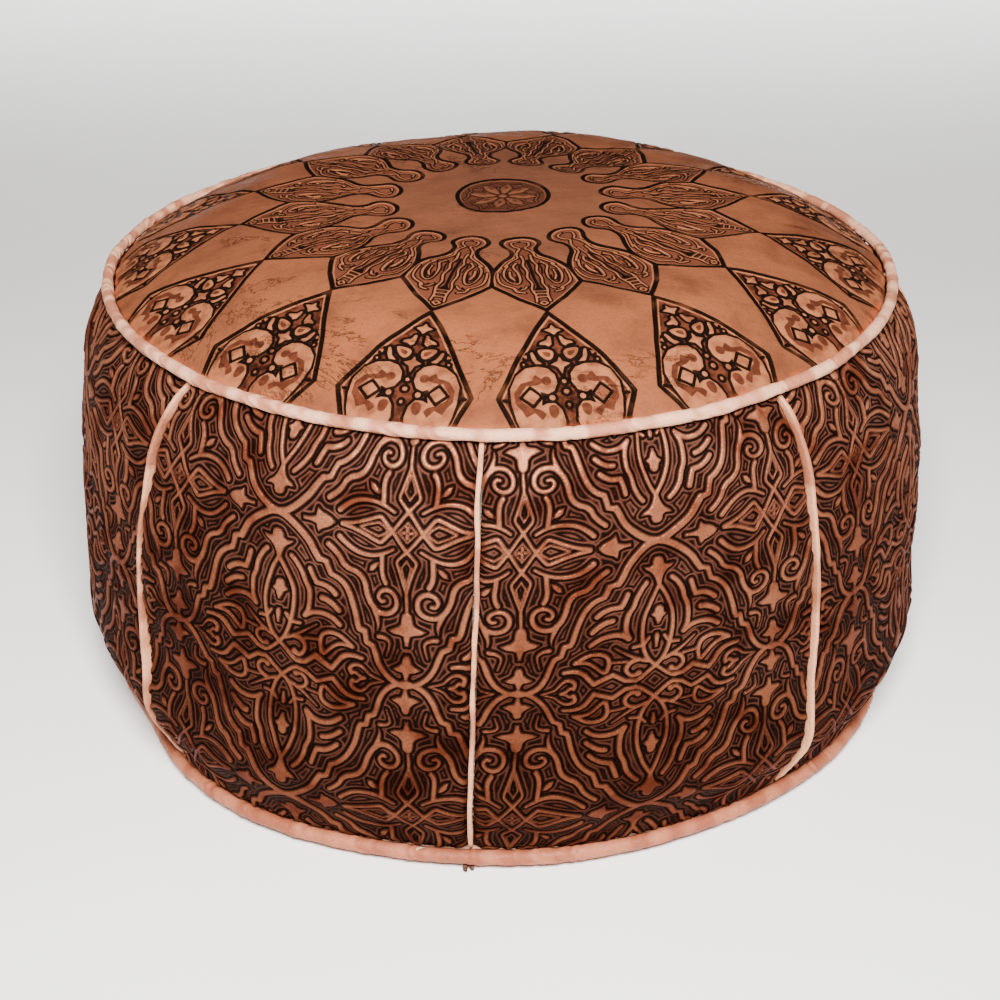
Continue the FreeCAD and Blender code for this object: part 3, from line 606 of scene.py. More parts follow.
def mirrored_tile(art):
    """Joins a tile's drawing with its mirror images across its four sides."""
    margin = int(round(TILE_REACH / art.PITCH))
    wide = int(round((TILE[0] + 2 * TILE_REACH) / art.PITCH))
    tall = int(round((TILE[1] + 2 * TILE_REACH) / art.PITCH))
    value = mirrored_ends(art.value[: wide + 1, : tall + 1], margin, wide)
    art.value = mirrored_ends(value.T, margin, tall).T
    return art


def fold(distance, span):
    """Folds a coordinate back and forth over 0..span."""
    return span - np.abs(np.mod(distance, 2 * span) - span)


def kite_ornament():
    """Half of a tooled kite, its axis at 0: outline, tan shapes, brown spots and ink."""
    low, high = (-1, 150), (45, 246)
    shape = Stencil(low, high)
    shape.patch(
        [
            (-3, 160.3), (0, 160.3), (8, 172), (20.5, 191), (30, 206.7), (35.8, 216), (34.5, 220),
            (31.3, 228), (28.5, 236), (27, 246), (-3, 246),
        ],
    )
    tan = Stencil(low, high)
    tan.patch(
        [
            (25.5, 246), (25.3, 236), (28, 228), (29.3, 220), (28.8, 211), (25, 204), (19, 200),
            (12, 199.3), (7, 201), (4, 205), (3.6, 210), (6, 214.5), (10, 216), (13.6, 214.2),
            (12.6, 217), (14.5, 222.5), (11.5, 221.2), (7.5, 221.3), (4.5, 225), (3.4, 231), (5, 236),
            (6, 246),
        ],
    )
    tan.patch([(-2, 170), (0, 170), (1.4, 173), (5, 174.4), (2, 176.4), (0, 179), (-2, 179)])
    tan.patch(
        [
            (2.2, 179.5), (3.7, 180), (4.8, 182.5), (8.6, 183.8), (9.3, 185.2), (6, 185.9),
            (4.4, 187.4), (2.7, 186), (2.3, 183),
        ],
    )
    tan.patch(
        [(2.8, 190.8), (6, 189), (10.6, 188.8), (10, 192), (7.6, 195), (5, 196), (3, 194)],
        sharp=False,
    )
    tan.patch(
        [(13.9, 189.6), (15.2, 190.2), (14.7, 194.6), (13.1, 197.8), (9, 198), (12, 195.2), (13, 191.6)],
    )
    tan.patch(
        [(-2, 193.8), (0, 193.8), (1.2, 197.1), (5.1, 198.9), (1.6, 200.8), (0, 205.5), (-2, 205.5)],
    )
    tan.patch([(17, 191.2), (19.8, 192.6), (17.4, 194.4)])
    tan.dot((19.6, 197.6), 0.8)
    tan.dot((8, 218.3), 1.6)
    tan.dot((0, 209.5), 1.2)
    tan.dot((0.2, 215.5), 1.3)
    tan.dot((0, 223), 1.0)
    spot = Stencil(low, high)
    spot.dot((9.2, 208.6), 2.6)
    spot.patch(
        [
            (11.5, 207.2), (14.8, 204.6), (16.8, 207.8), (23, 208.8), (27, 214), (27.3, 220),
            (24.4, 224), (23, 227.5), (18.5, 225.8), (15.4, 229.8), (12.8, 227), (14.5, 225),
            (18, 223.4), (23.4, 219.8), (24.6, 216), (20, 210.6), (15.3, 211), (12, 209.8),
        ],
    )
    spot.patch([(6.5, 223.6), (9, 222.4), (11.4, 224), (11, 228), (8.6, 229.2), (6.6, 227)], sharp=False)
    spot.patch([(4.4, 192), (7, 191), (8.5, 191.2), (7, 193.6), (5, 194.4)], sharp=False)
    ink = Stencil(low, high)
    ink.stroke([(18.3, 211.5), (24, 216.8), (18.3, 222.5), (13, 217)], 0.55, closed=True, sharp=True)
    ink.stroke([(30.6, 217), (33, 216.6)], 0.7, sharp=True)
    return shape, tan, spot, ink


def petal_ornament():
    """Half of a bottle-shaped petal, its axis at 0."""
    low, high = (-1, 52), (45, 168)
    shape = Stencil(low, high)
    side = rounded(
        [
            (25.2, 127.6), (24.4, 120), (22.5, 112.5), (19.3, 105.5), (14.5, 99), (9.5, 93.2),
            (7, 87.5), (7.2, 81.8), (9.7, 76.5), (10.6, 71.5), (8.2, 66.6), (3.8, 63.6), (-1, 62.8),
        ],
    )
    shape.patch([(-3, 157.8), (0, 157.8), (12.5, 145.2), *map(tuple, side), (-3, 62.8)])
    tan = Stencil(low, high)
    for line in (
        [
            (2.6, 90), (2.4, 98), (3.8, 105), (2.7, 112), (4, 120), (3, 128), (4.4, 135), (3.3, 142),
            (3.7, 149),
        ],
        [
            (7, 101), (9.6, 106), (8, 113), (8.2, 121), (10.6, 127.6), (14, 125.5), (16.2, 118),
            (15.4, 110), (12.3, 104),
        ],
        [(12.3, 111), (12.8, 117), (11.4, 121.8)],
        [(19.3, 112), (20.3, 119), (19.4, 126), (14.5, 131.5), (9, 134.5), (6.6, 131.5)],
        [(8.6, 138.5), (12.4, 136.6), (13.8, 133.2)],
        [
            (1.2, 69), (4.8, 71), (3.8, 76.5), (1.5, 79.5), (3.6, 84), (4.7, 88.5), (5.2, 94),
            (9.8, 99), (14.4, 104.5),
        ],
    ):
        tan.stroke(line, 0.62)
    for height in (137.6, 141.0, 144.4):
        tan.stroke([(-1, height), (3.2, height)], 0.55, sharp=True)
    tan.stroke([(0, 148.6), (1.9, 150.5), (0, 152.4)], 0.6)
    spot = Stencil(low, high)
    ink = Stencil(low, high)
    ink.stroke([(0, 96), (0, 133)], 0.95, sharp=True)
    ink.patch([(-1, 131), (1, 131), (3.4, 135.5), (-1, 136.2)])
    ink.stroke([(13.9, 112), (14.4, 118.5), (12.3, 125), (10, 122.6), (9.9, 116)], 0.65)
    ink.stroke([(5.2, 101), (6.2, 107), (5.4, 114)], 0.6)
    ink.stroke([(9.6, 131), (11.4, 133.4)], 0.9)
    return shape, tan, spot, ink


def rosette_ornament():
    """The middle medallion: two rings round an eight-petalled rosette; read by radius and angle."""
    low, high = (-1, -1), (34, 34)
    shape = Stencil(low, high)
    turn = np.radians(np.linspace(-20, 110, 40))
    rim = np.stack([28 * np.cos(turn), 28 * np.sin(turn)], 1)
    shape.patch([(-9, -9), *map(tuple, rim), (-9, 9)])
    tan = Stencil(low, high)
    tan.patch([(3.5, 0), (8, 2.4), (14, 3.2), (20.5, 0), (14, -3.2), (8, -2.4)], sharp=False)
    tan.stroke([(21.5, 0), (20.6, 5), (22.4, 9.2)], 0.5)
    tan.stroke([(9, 3.7), (14, 5.8)], 0.45, sharp=True)
    tan.dot((0, 0), 2.4)
    spot = Stencil(low, high)
    spot.patch([(9, 0), (12, 1.2), (16.5, 0), (12, -1.2)])
    ink = Stencil(low, high)
    ink.stroke([(18.5, 7.8), (14.7, 6.2)], 0.5, sharp=True)
    return shape, tan, spot, ink


# ---------------------------------------------------------------- pieces of the cover

SIDE = side_outline()
TOP = top_outline()
# The radius at which a panel's print has its true width.
PATTERN_RADIUS = 265.5
# A panel's width at the belly, which sets how many columns its mesh has.
PANEL_WIDTH = 208
# For each panel: the tile axis's azimuth at the top and foot, less the panel's middle; where
# along the side the bands cross; and the print's stretch down the side.
PANEL_PRINT = (
    (0.05, -1.7, 60.5, 0.93),
    (1.6, 0.6, 52.0, 0.97),
    (-0.8, 0.7, 57.0, 0.96),
    (0.9, 0.2, 49.0, 1.0),
    (-1.2, -0.4, 61.0, 0.95),
    (0.4, 1.3, 54.0, 0.98),
    (-1.5, -0.6, 47.0, 0.99),
    (0.4, 0.0, 51.0, 1.0),
)


def bump(distance, width):
    """A soft ridge of height 1 and that half width about zero."""
    return np.clip(1 - (distance / width) ** 2, 0, 1) ** 1.5


def ramp(value, low, high):
    """A smooth step from 0 at low to 1 at high."""
    share = np.clip((value - low) / (high - low), 0, 1)
    return share * share * (3 - 2 * share)


# How far outside a raised band its two contour ridges run.
RIDGE = 1.9
FAR_RIDGE = 4.2


def emboss_height(d):
    """The print's relief in millimetres: raised bands, and thin contour ridges beside them."""
    band = 1.05 * ramp(d, -0.55, 0.75)
    first = 0.40 * bump(d + RIDGE, 0.8)
    second = 0.34 * bump(d + FAR_RIDGE, 0.8)
    return band + first + second - 0.25 * ramp(-d, 0.2, 0.8)


def side_panel(number, art, material):
    """One side panel: the printed, puckered outer face and a plain inner one."""
    step = 8
    pitch = 0.82
    rows = int(round(SIDE.length / pitch / step)) * step + 1
    columns = int(round(PANEL_WIDTH / pitch / step)) * step + 1
    middle = FRONT_SEAM + PANEL_ANGLE * (number - 0.5)
    half = PANEL_ANGLE / 2 - SEAM_GAP
    down = np.linspace(0, SIDE.length, rows)[:, None]
    across = np.linspace(-half, half, columns)[None, :]
    radius, height = SIDE.at(down)
    nr, nz = SIDE.normal(down)
    bow = seam_bow(middle + across, height)
    azimuth = middle + across + bow
    # where each point lies on the print
    top_axis, foot_axis, cross_at, stretch = PANEL_PRINT[number - 1]
    axis = top_axis + (foot_axis - top_axis) * down / SIDE.length
    wander_u = 0.9 * smooth_noise(across * 4.6, down, number * 50.0, 60, 11)
    wander_v = 0.9 * smooth_noise(across * 4.6, down, number * 50.0, 60, 12)
    u = fold(np.radians(across + bow - axis) * PATTERN_RADIUS + wander_u, TILE[0])
    v = fold((down - cross_at) / stretch + wander_v, TILE[1])
    distance = art.read(u, v)
    to_seam = (half - np.abs(across)) * math.radians(1) * radius
    to_top = down + 0 * across
    to_foot = SIDE.length - down + 0 * across
    # the stuffed shape: soft lumps, drawn in at the seams and gathered at the two ends
    x, y, z = np.moveaxis(around(radius, azimuth, height), -1, 0)
    lumps = 1.5 * smooth_noise(x, y, z, 95, 21) + 0.4 * smooth_noise(x, y, z, 30, 22)
    seam_dip = -1.1 * np.exp(-((to_seam / 7.5) ** 2)) - 1.7 * np.exp(-((to_seam / 1.3) ** 2))
    waves = smooth_noise(x, y, z * 2, 13, 23 + number)
    seam_pucker = 0.3 * waves * np.exp(-((to_seam / 9) ** 2))
    edge = np.minimum(to_top, to_foot)
    folds = np.sin(azimuth * 3.1 + 2 * smooth_noise(x, y, z, 45, 31)) * smooth_noise(x, y, z, 25, 32)
    edge_pucker = 0.75 * folds * np.exp(-((edge / 13) ** 2))
    edge_dip = -0.8 * np.exp(-((to_top / 4) ** 2)) + 1.7 * np.exp(-(((to_foot - 7) / 6) ** 2))
    lift = lumps * ramp(edge, 0, 25) + seam_dip + seam_pucker + edge_pucker + edge_dip
    # the embossing, a little flatter right at the seams
    fade = ramp(edge, 0.0, 3.0) * ramp(to_seam, 0.5, 2.5)
    relief = emboss_height(distance) * (0.75 + 0.25 * fade)
    out = lift + relief - 0.45
    outer = around(radius + nr * out, azimuth, height + nz * out)
    back = every(step)
    inward = np.minimum(lift, 0)[back] - LEATHER
    inner = around(
        (radius + 0 * across)[back] + (nr + 0 * across)[back] * inward,
        (azimuth + 0 * down)[back],
        (height + 0 * across)[back] + (nz + 0 * across)[back] * inward,
    )
    name = f"pouf_side_panel_{number}"
    fields = {"print": distance, "fall": to_top / SIDE.length}
    piece = leather_sheet(name, outer, inner, step, fields, flip=True)
    return finish_piece(piece, material, [f"side_panel_{number}"])


def disc_points(count):
    """A square grid wrapped onto a unit disc: radius share and azimuth in degrees."""
    line = np.linspace(-1, 1, count)
    a, b = np.meshgrid(line, line, indexing="ij")
    wide = np.abs(a) >= np.abs(b)
    radius = np.where(wide, a, b)
    safe = np.where(radius == 0, 1, radius)
    turn = np.where(wide, 45 * b / safe, 90 - 45 * a / safe)
    return np.abs(radius), turn + np.where(radius < 0, 180, 0)


# The star: its rays, where the first one points, where its kites give way to petals, and the
# medallion's middle and reach.
STARS = 16
STAR_TURN = 360 / STARS
STAR_START = -13.3
KITES_FROM = 159
MEDALLION = (1.8, 3.5)
MEDALLION_REACH = 34
LEAF_TURN = 45


def top_print(x, y):
    """The tooled star's distances at each (x, y): shape, tan, spot and ink."""
    radius = np.hypot(x, y)
    azimuth = np.degrees(np.arctan2(x, -y))
    turn = (azimuth - STAR_START + STAR_TURN / 2) % STAR_TURN - STAR_TURN / 2
    side = np.abs(radius * np.sin(np.radians(turn)))
    along = radius * np.cos(np.radians(turn))
    inner_x, inner_y = x - MEDALLION[0], y - MEDALLION[1]
    reach = np.hypot(inner_x, inner_y)
    lean = np.radians((np.degrees(np.arctan2(inner_y, inner_x)) + 10) % LEAF_TURN)
    past = lean > math.radians(LEAF_TURN / 2)
    lean = np.abs(np.where(past, lean - math.radians(LEAF_TURN), lean))
    kite = [s.read(side, along) for s in kite_ornament()]
    petal = [s.read(side, along) for s in petal_ornament()]
    middle = [s.read(reach * np.cos(lean), reach * np.sin(lean)) for s in rosette_ornament()]
    far = radius > KITES_FROM
    near = reach < MEDALLION_REACH
    return [np.where(far, k, np.where(near, m, p)) for k, p, m in zip(kite, petal, middle)]


def top_panel(material):
    """The top: a crowned disc with the tooled star, its edge gathered into the seam."""
    step = 8
    count = 551 // step * step + 1
    share, azimuth = disc_points(count)
    along = share * TOP.length
    radius, height = TOP.at(along)
    nr, nz = TOP.normal(along)
    x, y, z = np.moveaxis(around(radius, azimuth, height), -1, 0)
    wander_x = 0.35 * smooth_noise(x, y, z, 40, 41)
    wander_y = 0.35 * smooth_noise(x, y, z, 40, 42)
    shape, tan, spot, ink = top_print(x + wander_x, y + wander_y)
    # the stuffed shape, gathered at the seam
    to_edge = TOP.length - along
    lumps = 1.6 * smooth_noise(x, y, z, 150, 51) + 0.5 * smooth_noise(x, y, z, 45, 52)
    fine = smooth_noise(x, y, z, 9, 53)
    folds = np.sin(np.radians(azimuth) * 62 + 2.5 * smooth_noise(x, y, z, 60, 54))
    pucker = 0.95 * folds * (0.6 + 0.5 * smooth_noise(x, y, z, 40, 55)) * np.exp(-to_edge / 7)
    dip = -1.5 * np.exp(-to_edge / 3.5)
    lift = lumps * ramp(to_edge, 0, 60) + pucker + dip + 0.07 * fine
    # the tooling: lines cut in, the ground pressed down, the tan shapes left proud
    cut = np.maximum(bump(shape, 1.2), bump(ink, 1.1) * (shape > 0))
    hollow = ramp(shape, 0.6, 2.8) * (1 - ramp(tan, -0.4, 0.7))
    out = lift - 0.75 * cut - 0.5 * hollow + 0.3 * ramp(tan, 0.3, 2.5) * (shape > 1)
    outer = around(radius + nr * out, azimuth, height + nz * out)
    back = every(step)
    inward = np.minimum(lift, 0)[back] - LEATHER
    inner = around(radius[back] + nr[back] * inward, azimuth[back], height[back] + nz[back] * inward)
    fields = {"shape": shape, "tan": tan, "spot": spot, "ink": ink, "rim": to_edge}
    piece = leather_sheet("pouf_top", outer, inner, step, fields)
    return finish_piece(piece, material, ["top_panel"])


def ring_pipe(place, tube, seam_turn, lumps, seed, joints, material):
    """The piping round the top or the bottom: a lumpy tube, wrinkled, with its strip's joints.

    joints are the azimuths where the strip's ends lap; seam_turn is where the tube is sewn in.
    """
    radius, height, thick = tube
    count = 1800
    section = 28
    azimuth = np.linspace(-180, 180, count, endpoint=False)[:, None]
    turn = np.linspace(0, 2 * math.pi, section, endpoint=False)[None, :]
    girth = np.radians(azimuth) * radius
    x, y = radius * np.sin(np.radians(azimuth)), radius * np.cos(np.radians(azimuth))
    swell = 1 + lumps * smooth_noise(x, y, 0, 16, seed)
    size = thick * (swell + 0.5 * lumps * smooth_noise(x, y, 0, 55, seed + 1))
    wrinkle = np.sin(girth / 1.7 + 4.2 * np.sin(turn + 0.5) + 3 * smooth_noise(x, y, 0, 20, seed + 2))
    strength = np.clip(0.35 + smooth_noise(x, y, 0, 30, seed + 3), 0, 1)
    size = size + thick * 0.075 * wrinkle * strength
    for joint in joints:
        offset = (azimuth - joint + 180) % 360 - 180 + 0.25 * np.cos(turn)
        size = size + thick * 0.09 * (offset > 0) * np.exp(-np.clip(offset, 0, 9) / 1.6)
    sway = 0.45 * smooth_noise(x, y, 0, 70, seed + 4)
    size = np.minimum(size, thick * 1.16)
    r = radius + size * np.cos(turn)
    z = height + sway + size * np.sin(turn)
    points = around(r, azimuth, z)
    # for the looks: stains with painted shade in the wrinkles' troughs, and how far round the tube a
    # point is from where it is sewn in, which the material darkens as painted shade
    stain_and_shade = smooth_noise(x, y, 0, 24, seed + 5) - 0.3 * wrinkle * strength
    index = np.arange(count * section).reshape(count, section)
    closed = joined_round(np.concatenate([index, index[:1]], 0))
    faces = [quads(closed, turned=True)]
    away = np.abs((turn - seam_turn + math.pi) % (2 * math.pi) - math.pi)
    fields = {"stain_and_shade": stain_and_shade, "from_seam": away + 0 * azimuth}
    piece = make_mesh(f"pouf_{place}_piping", points, faces, fields)
    return finish_piece(piece, material, [f"{place}_welt_cover"])


def side_pipe(number, material):
    """The flat folded strip that shows between two side panels."""
    azimuth = FRONT_SEAM + PANEL_ANGLE * (number - 1)
    rows = 420
    section = 16
    down = np.linspace(1.5, SIDE.length - 2.5, rows)[:, None]
    turn = np.linspace(0, 2 * math.pi, section, endpoint=False)[None, :]
    radius, height = SIDE.at(down)
    nr, nz = SIDE.normal(down)
    seed = 70 + number
    wander = 0.55 * smooth_noise(down, number * 90.0, 0, 60, seed)
    half_width = 1.35 * (1 + 0.10 * smooth_noise(down, 0, number * 30.0, 18, seed + 20))
    wide = np.sign(np.cos(turn)) * np.abs(np.cos(turn)) ** 0.7 * half_width + wander
    deep = np.sign(np.sin(turn)) * np.abs(np.sin(turn)) ** 0.7
    rise = 0.12 * smooth_noise(down, 7.0, number * 11.0, 9, seed + 40)
    proud = np.where(deep > 0, 1.3 * deep + rise, 5.5 * deep)
    # it sinks into the two ring seams, and stands higher where the slack foot bulges beside it
    ends = ramp(down, 1.5, 12) * ramp(SIDE.length - down, 2.5, 10)
    proud = proud - 1.6 * (1 - ends) + 1.2 * ramp(down, SIDE.length - 130, SIDE.length - 40)
    points = around(
        radius + nr * proud,
        azimuth + seam_bow(azimuth, height) + np.degrees(wide / radius),
        height + nz * proud,
    )
    index = np.arange(rows * section).reshape(rows, section)
    walls = quads(joined_round(index))
    caps = [index[0, ::-1][None, :], index[-1][None, :]]
    stain_and_shade = smooth_noise(down, number * 40.0, 0, 45, seed + 60) + 0 * turn
    # painted shade: the material darkens the strip's foot end, where it runs under the bottom piping
    foot = np.exp(-(SIDE.length - down) / 5) + 0 * turn
    fields = {"stain_and_shade": stain_and_shade, "foot": foot}
    piece = make_mesh(f"pouf_side_piping_{number}", points, [walls, *caps], fields)
    return finish_piece(piece, material, [f"side_welt_{number}"])


def base_half(name, side, material, stands_for):
    """One half of the base: flat on the floor, turned up at its rim and along the zip slot."""
    step = 6
    rows = 180 // step * step + 1
    columns = 420 // step * step + 1
    # the section: flat, then turned up in an arc
    rim_angle = math.atan2(BASE_RIM[1], BASE_RIM[0] - BASE_FLAT)
    turn_radius = math.hypot(BASE_RIM[0] - BASE_FLAT, BASE_RIM[1]) / (2 * math.sin(rim_angle))
    swing = np.linspace(0, 2 * rim_angle, 30)
    rim = np.stack([BASE_FLAT + turn_radius * np.sin(swing), turn_radius * (1 - np.cos(swing))], 1)
    outline = Outline(np.concatenate([[(0.0, 0.0)], rim]))
    # the flat cut: columns along the zip, rows from its slot out to the rim
    share = np.linspace(-1, 1, columns)[None, :]
    depth = np.linspace(0, 1, rows)[:, None]
    reach = outline.length - 0.4
    swing_x = np.sin(share * (math.pi / 2 - 0.036))
    x_flat = reach * swing_x + 0 * depth
    edge = np.sqrt(np.maximum(reach**2 - x_flat**2, 0))
    blend = ramp(np.abs(x_flat), SLOT_HALF_LENGTH - 2, SLOT_HALF_LENGTH + 2)
    start = SLOT_HALF_WIDTH * (1 - blend) + 0.25 * blend
    y_flat = start + (np.maximum(edge, start + 0.3) - start) * depth
    distance = np.hypot(x_flat, y_flat)
    radius, height = outline.at(np.minimum(distance, outline.length))
    scale = radius / np.maximum(distance, 1e-6)
    x, y = x_flat * scale, y_flat * scale * side
    # the leather is raised along the zip, wrinkled, and gathered at the rim
    inward = np.exp(-((y_flat - start) / 5) ** 2) * (1 - blend)
    wrinkles = 0.5 + 0.5 * smooth_noise(x, y, 0, 32, 61) + 0.25 * smooth_noise(x, y, 0, 11, 62)
    lift = np.clip(0.55 * wrinkles, 0, 1.2) * ramp(outline.length - distance, 2, 40) + 0.7 * inward
    gather = np.sin(np.arctan2(y, x) * 70 + 2 * smooth_noise(x, y, 0, 50, 63))
    lift = lift + 0.35 * (1 + gather) * np.exp(-(outline.length - distance) / 8)
    outer = np.stack([x, y, height + lift], -1)
    back = every(step)
    inner = outer[back] + np.array([0, 0, LEATHER])
    slope = np.clip(radius[back] - BASE_FLAT, 0, 20) / 20
    inner[..., 0] -= LEATHER * 0.8 * slope * x[back] / np.maximum(radius[back], 1)
    inner[..., 1] -= LEATHER * 0.8 * slope * y[back] / np.maximum(radius[back], 1)
    inner[..., 2] -= LEATHER * 0.45 * slope
    fields = {"rim": outline.length - distance}
    piece = leather_sheet(name, outer, inner, step, fields, flip=side > 0)
    return finish_piece(piece, material, stands_for)


def stuffing_outline():
    """The filling's outline, from the middle of its base up to the middle of its crown."""
    low = [(0.0, FILL_FLOOR), (120.0, FILL_FLOOR)]
    line = rounded([*low, *FILL_POINTS, (0.0, FILL_CROWN)], pieces=12)
    line = np.clip(line, [0, FILL_FLOOR], [FILL_WIDEST, FILL_CROWN])
    outline = Outline(line)
    along = np.linspace(0, outline.length, 150)
    radius, height = outline.at(along)
    return (radius, height, *outline.normal(along, span=4))


def stuffed_body(name, grow, lump, fine, seed, material, stands_for):
    """A closed, lumpy body of the filling's shape; grow moves its surface outwards."""
    count = 360
    radius, height, nr, nz = (part[:, None] for part in stuffing_outline())
    azimuth = np.linspace(-180, 180, count, endpoint=False)[None, :]
    x, y, z = np.moveaxis(around(radius, azimuth, height), -1, 0)
    hollow = lump * (0.5 + 0.5 * smooth_noise(x, y, z, 60, seed))
    hollow = hollow + fine * (0.5 + 0.5 * smooth_noise(x, y, z, 14, seed + 1))
    sink = np.clip(hollow, 0, lump + fine) - grow
    r = np.maximum(radius + nr * sink, 0.0)
    points = around(r, azimuth, height + nz * sink)
    points[0, :, :2] = 0
    points[-1, :, :2] = 0
    rows = len(radius)
    body = points[1:-1].reshape(-1, 3)
    poles = np.array([points[0].mean(0), points[-1].mean(0)])
    walls = grid_faces(rows - 2, count, closed=True, flip=True)
    first, last = (rows - 2) * count, (rows - 2) * count + 1
    ring = np.arange(count)
    following = np.roll(ring, -1)
    bottom = np.stack([np.full(count, first), following, ring], 1)
    top = np.stack([np.full(count, last), (rows - 3) * count + ring, (rows - 3) * count + following], 1)
    piece = make_mesh(name, np.concatenate([body, poles]), [walls, bottom, top], settled=False)
    return finish_piece(piece, material, stands_for)


def seam_tail(material):
    """The loose end of the front seam: two ragged strips of leather under the bottom piping."""
    low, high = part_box("seam_tail")
    low, high = np.array(low) / MM, np.array(high) / MM
    centre = (low + high) / 2
    parts = []
    faces = []
    start = 0
    rows, section = 14, 10
    for number, (offset, lift) in enumerate(((-1.9, 0.0), (1.7, 0.35))):
        share = np.linspace(0, 1, rows)[:, None]
        turn = np.linspace(0, 2 * math.pi, section, endpoint=False)[None, :]
        half = 1.9 * (1 - 0.35 * share**3) * (1 + 0.12 * np.sin(share * 19 + number * 2))
        y = high[1] + (low[1] - high[1]) * share * (1 - 0.07 * number)
        y = y + 0.5 * np.sin(turn * 2 + number) * (share > 0.95)
        x = centre[0] + offset + half * np.cos(turn) + 0.4 * np.sin(share * 5 + number)
        z = 1.55 + lift + 0.85 * np.sin(turn) * (1 - 0.3 * share) + 0.15 * np.sin(share * 14)
        points = np.stack(np.broadcast_arrays(x, y, z), -1).reshape(-1, 3)
        index = start + np.arange(rows * section).reshape(rows, section)
        walls = quads(joined_round(index), turned=True)
        faces += [walls, index[0][None, :], index[-1, ::-1][None, :]]
        parts.append(points)
        start += len(points)
    piece = make_mesh("pouf_seam_tail", np.concatenate(parts), faces, settled=False)
    return finish_piece(piece, material, ["seam_tail"])


def settled_copy(node, name, material, sink=0.0):
    """A CAD node's own mesh, moved with the cover's sag; a sunk one follows the side seams too."""
    piece = bpy.data.objects.new(name, frame["nodes"][node].data.copy())
    bpy.context.scene.collection.objects.link(piece)
    count = len(piece.data.vertices)
    points = np.zeros(count * 3, np.float32)
    piece.data.vertices.foreach_get("co", points)
    points = points.reshape(-1, 3).astype(float) / MM
    if sink:
        radius = np.hypot(points[:, 0], points[:, 1])
        azimuth = np.degrees(np.arctan2(points[:, 0], -points[:, 1]))
        points = around(radius - sink, azimuth + seam_bow(azimuth, points[:, 2]), points[:, 2])
    moved = settle(points) * MM
    piece.data.vertices.foreach_set("co", moved.astype(np.float32).ravel())
    piece.data.update()
    return finish_piece(piece, material, [node])


# ---------------------------------------------------------------- materials


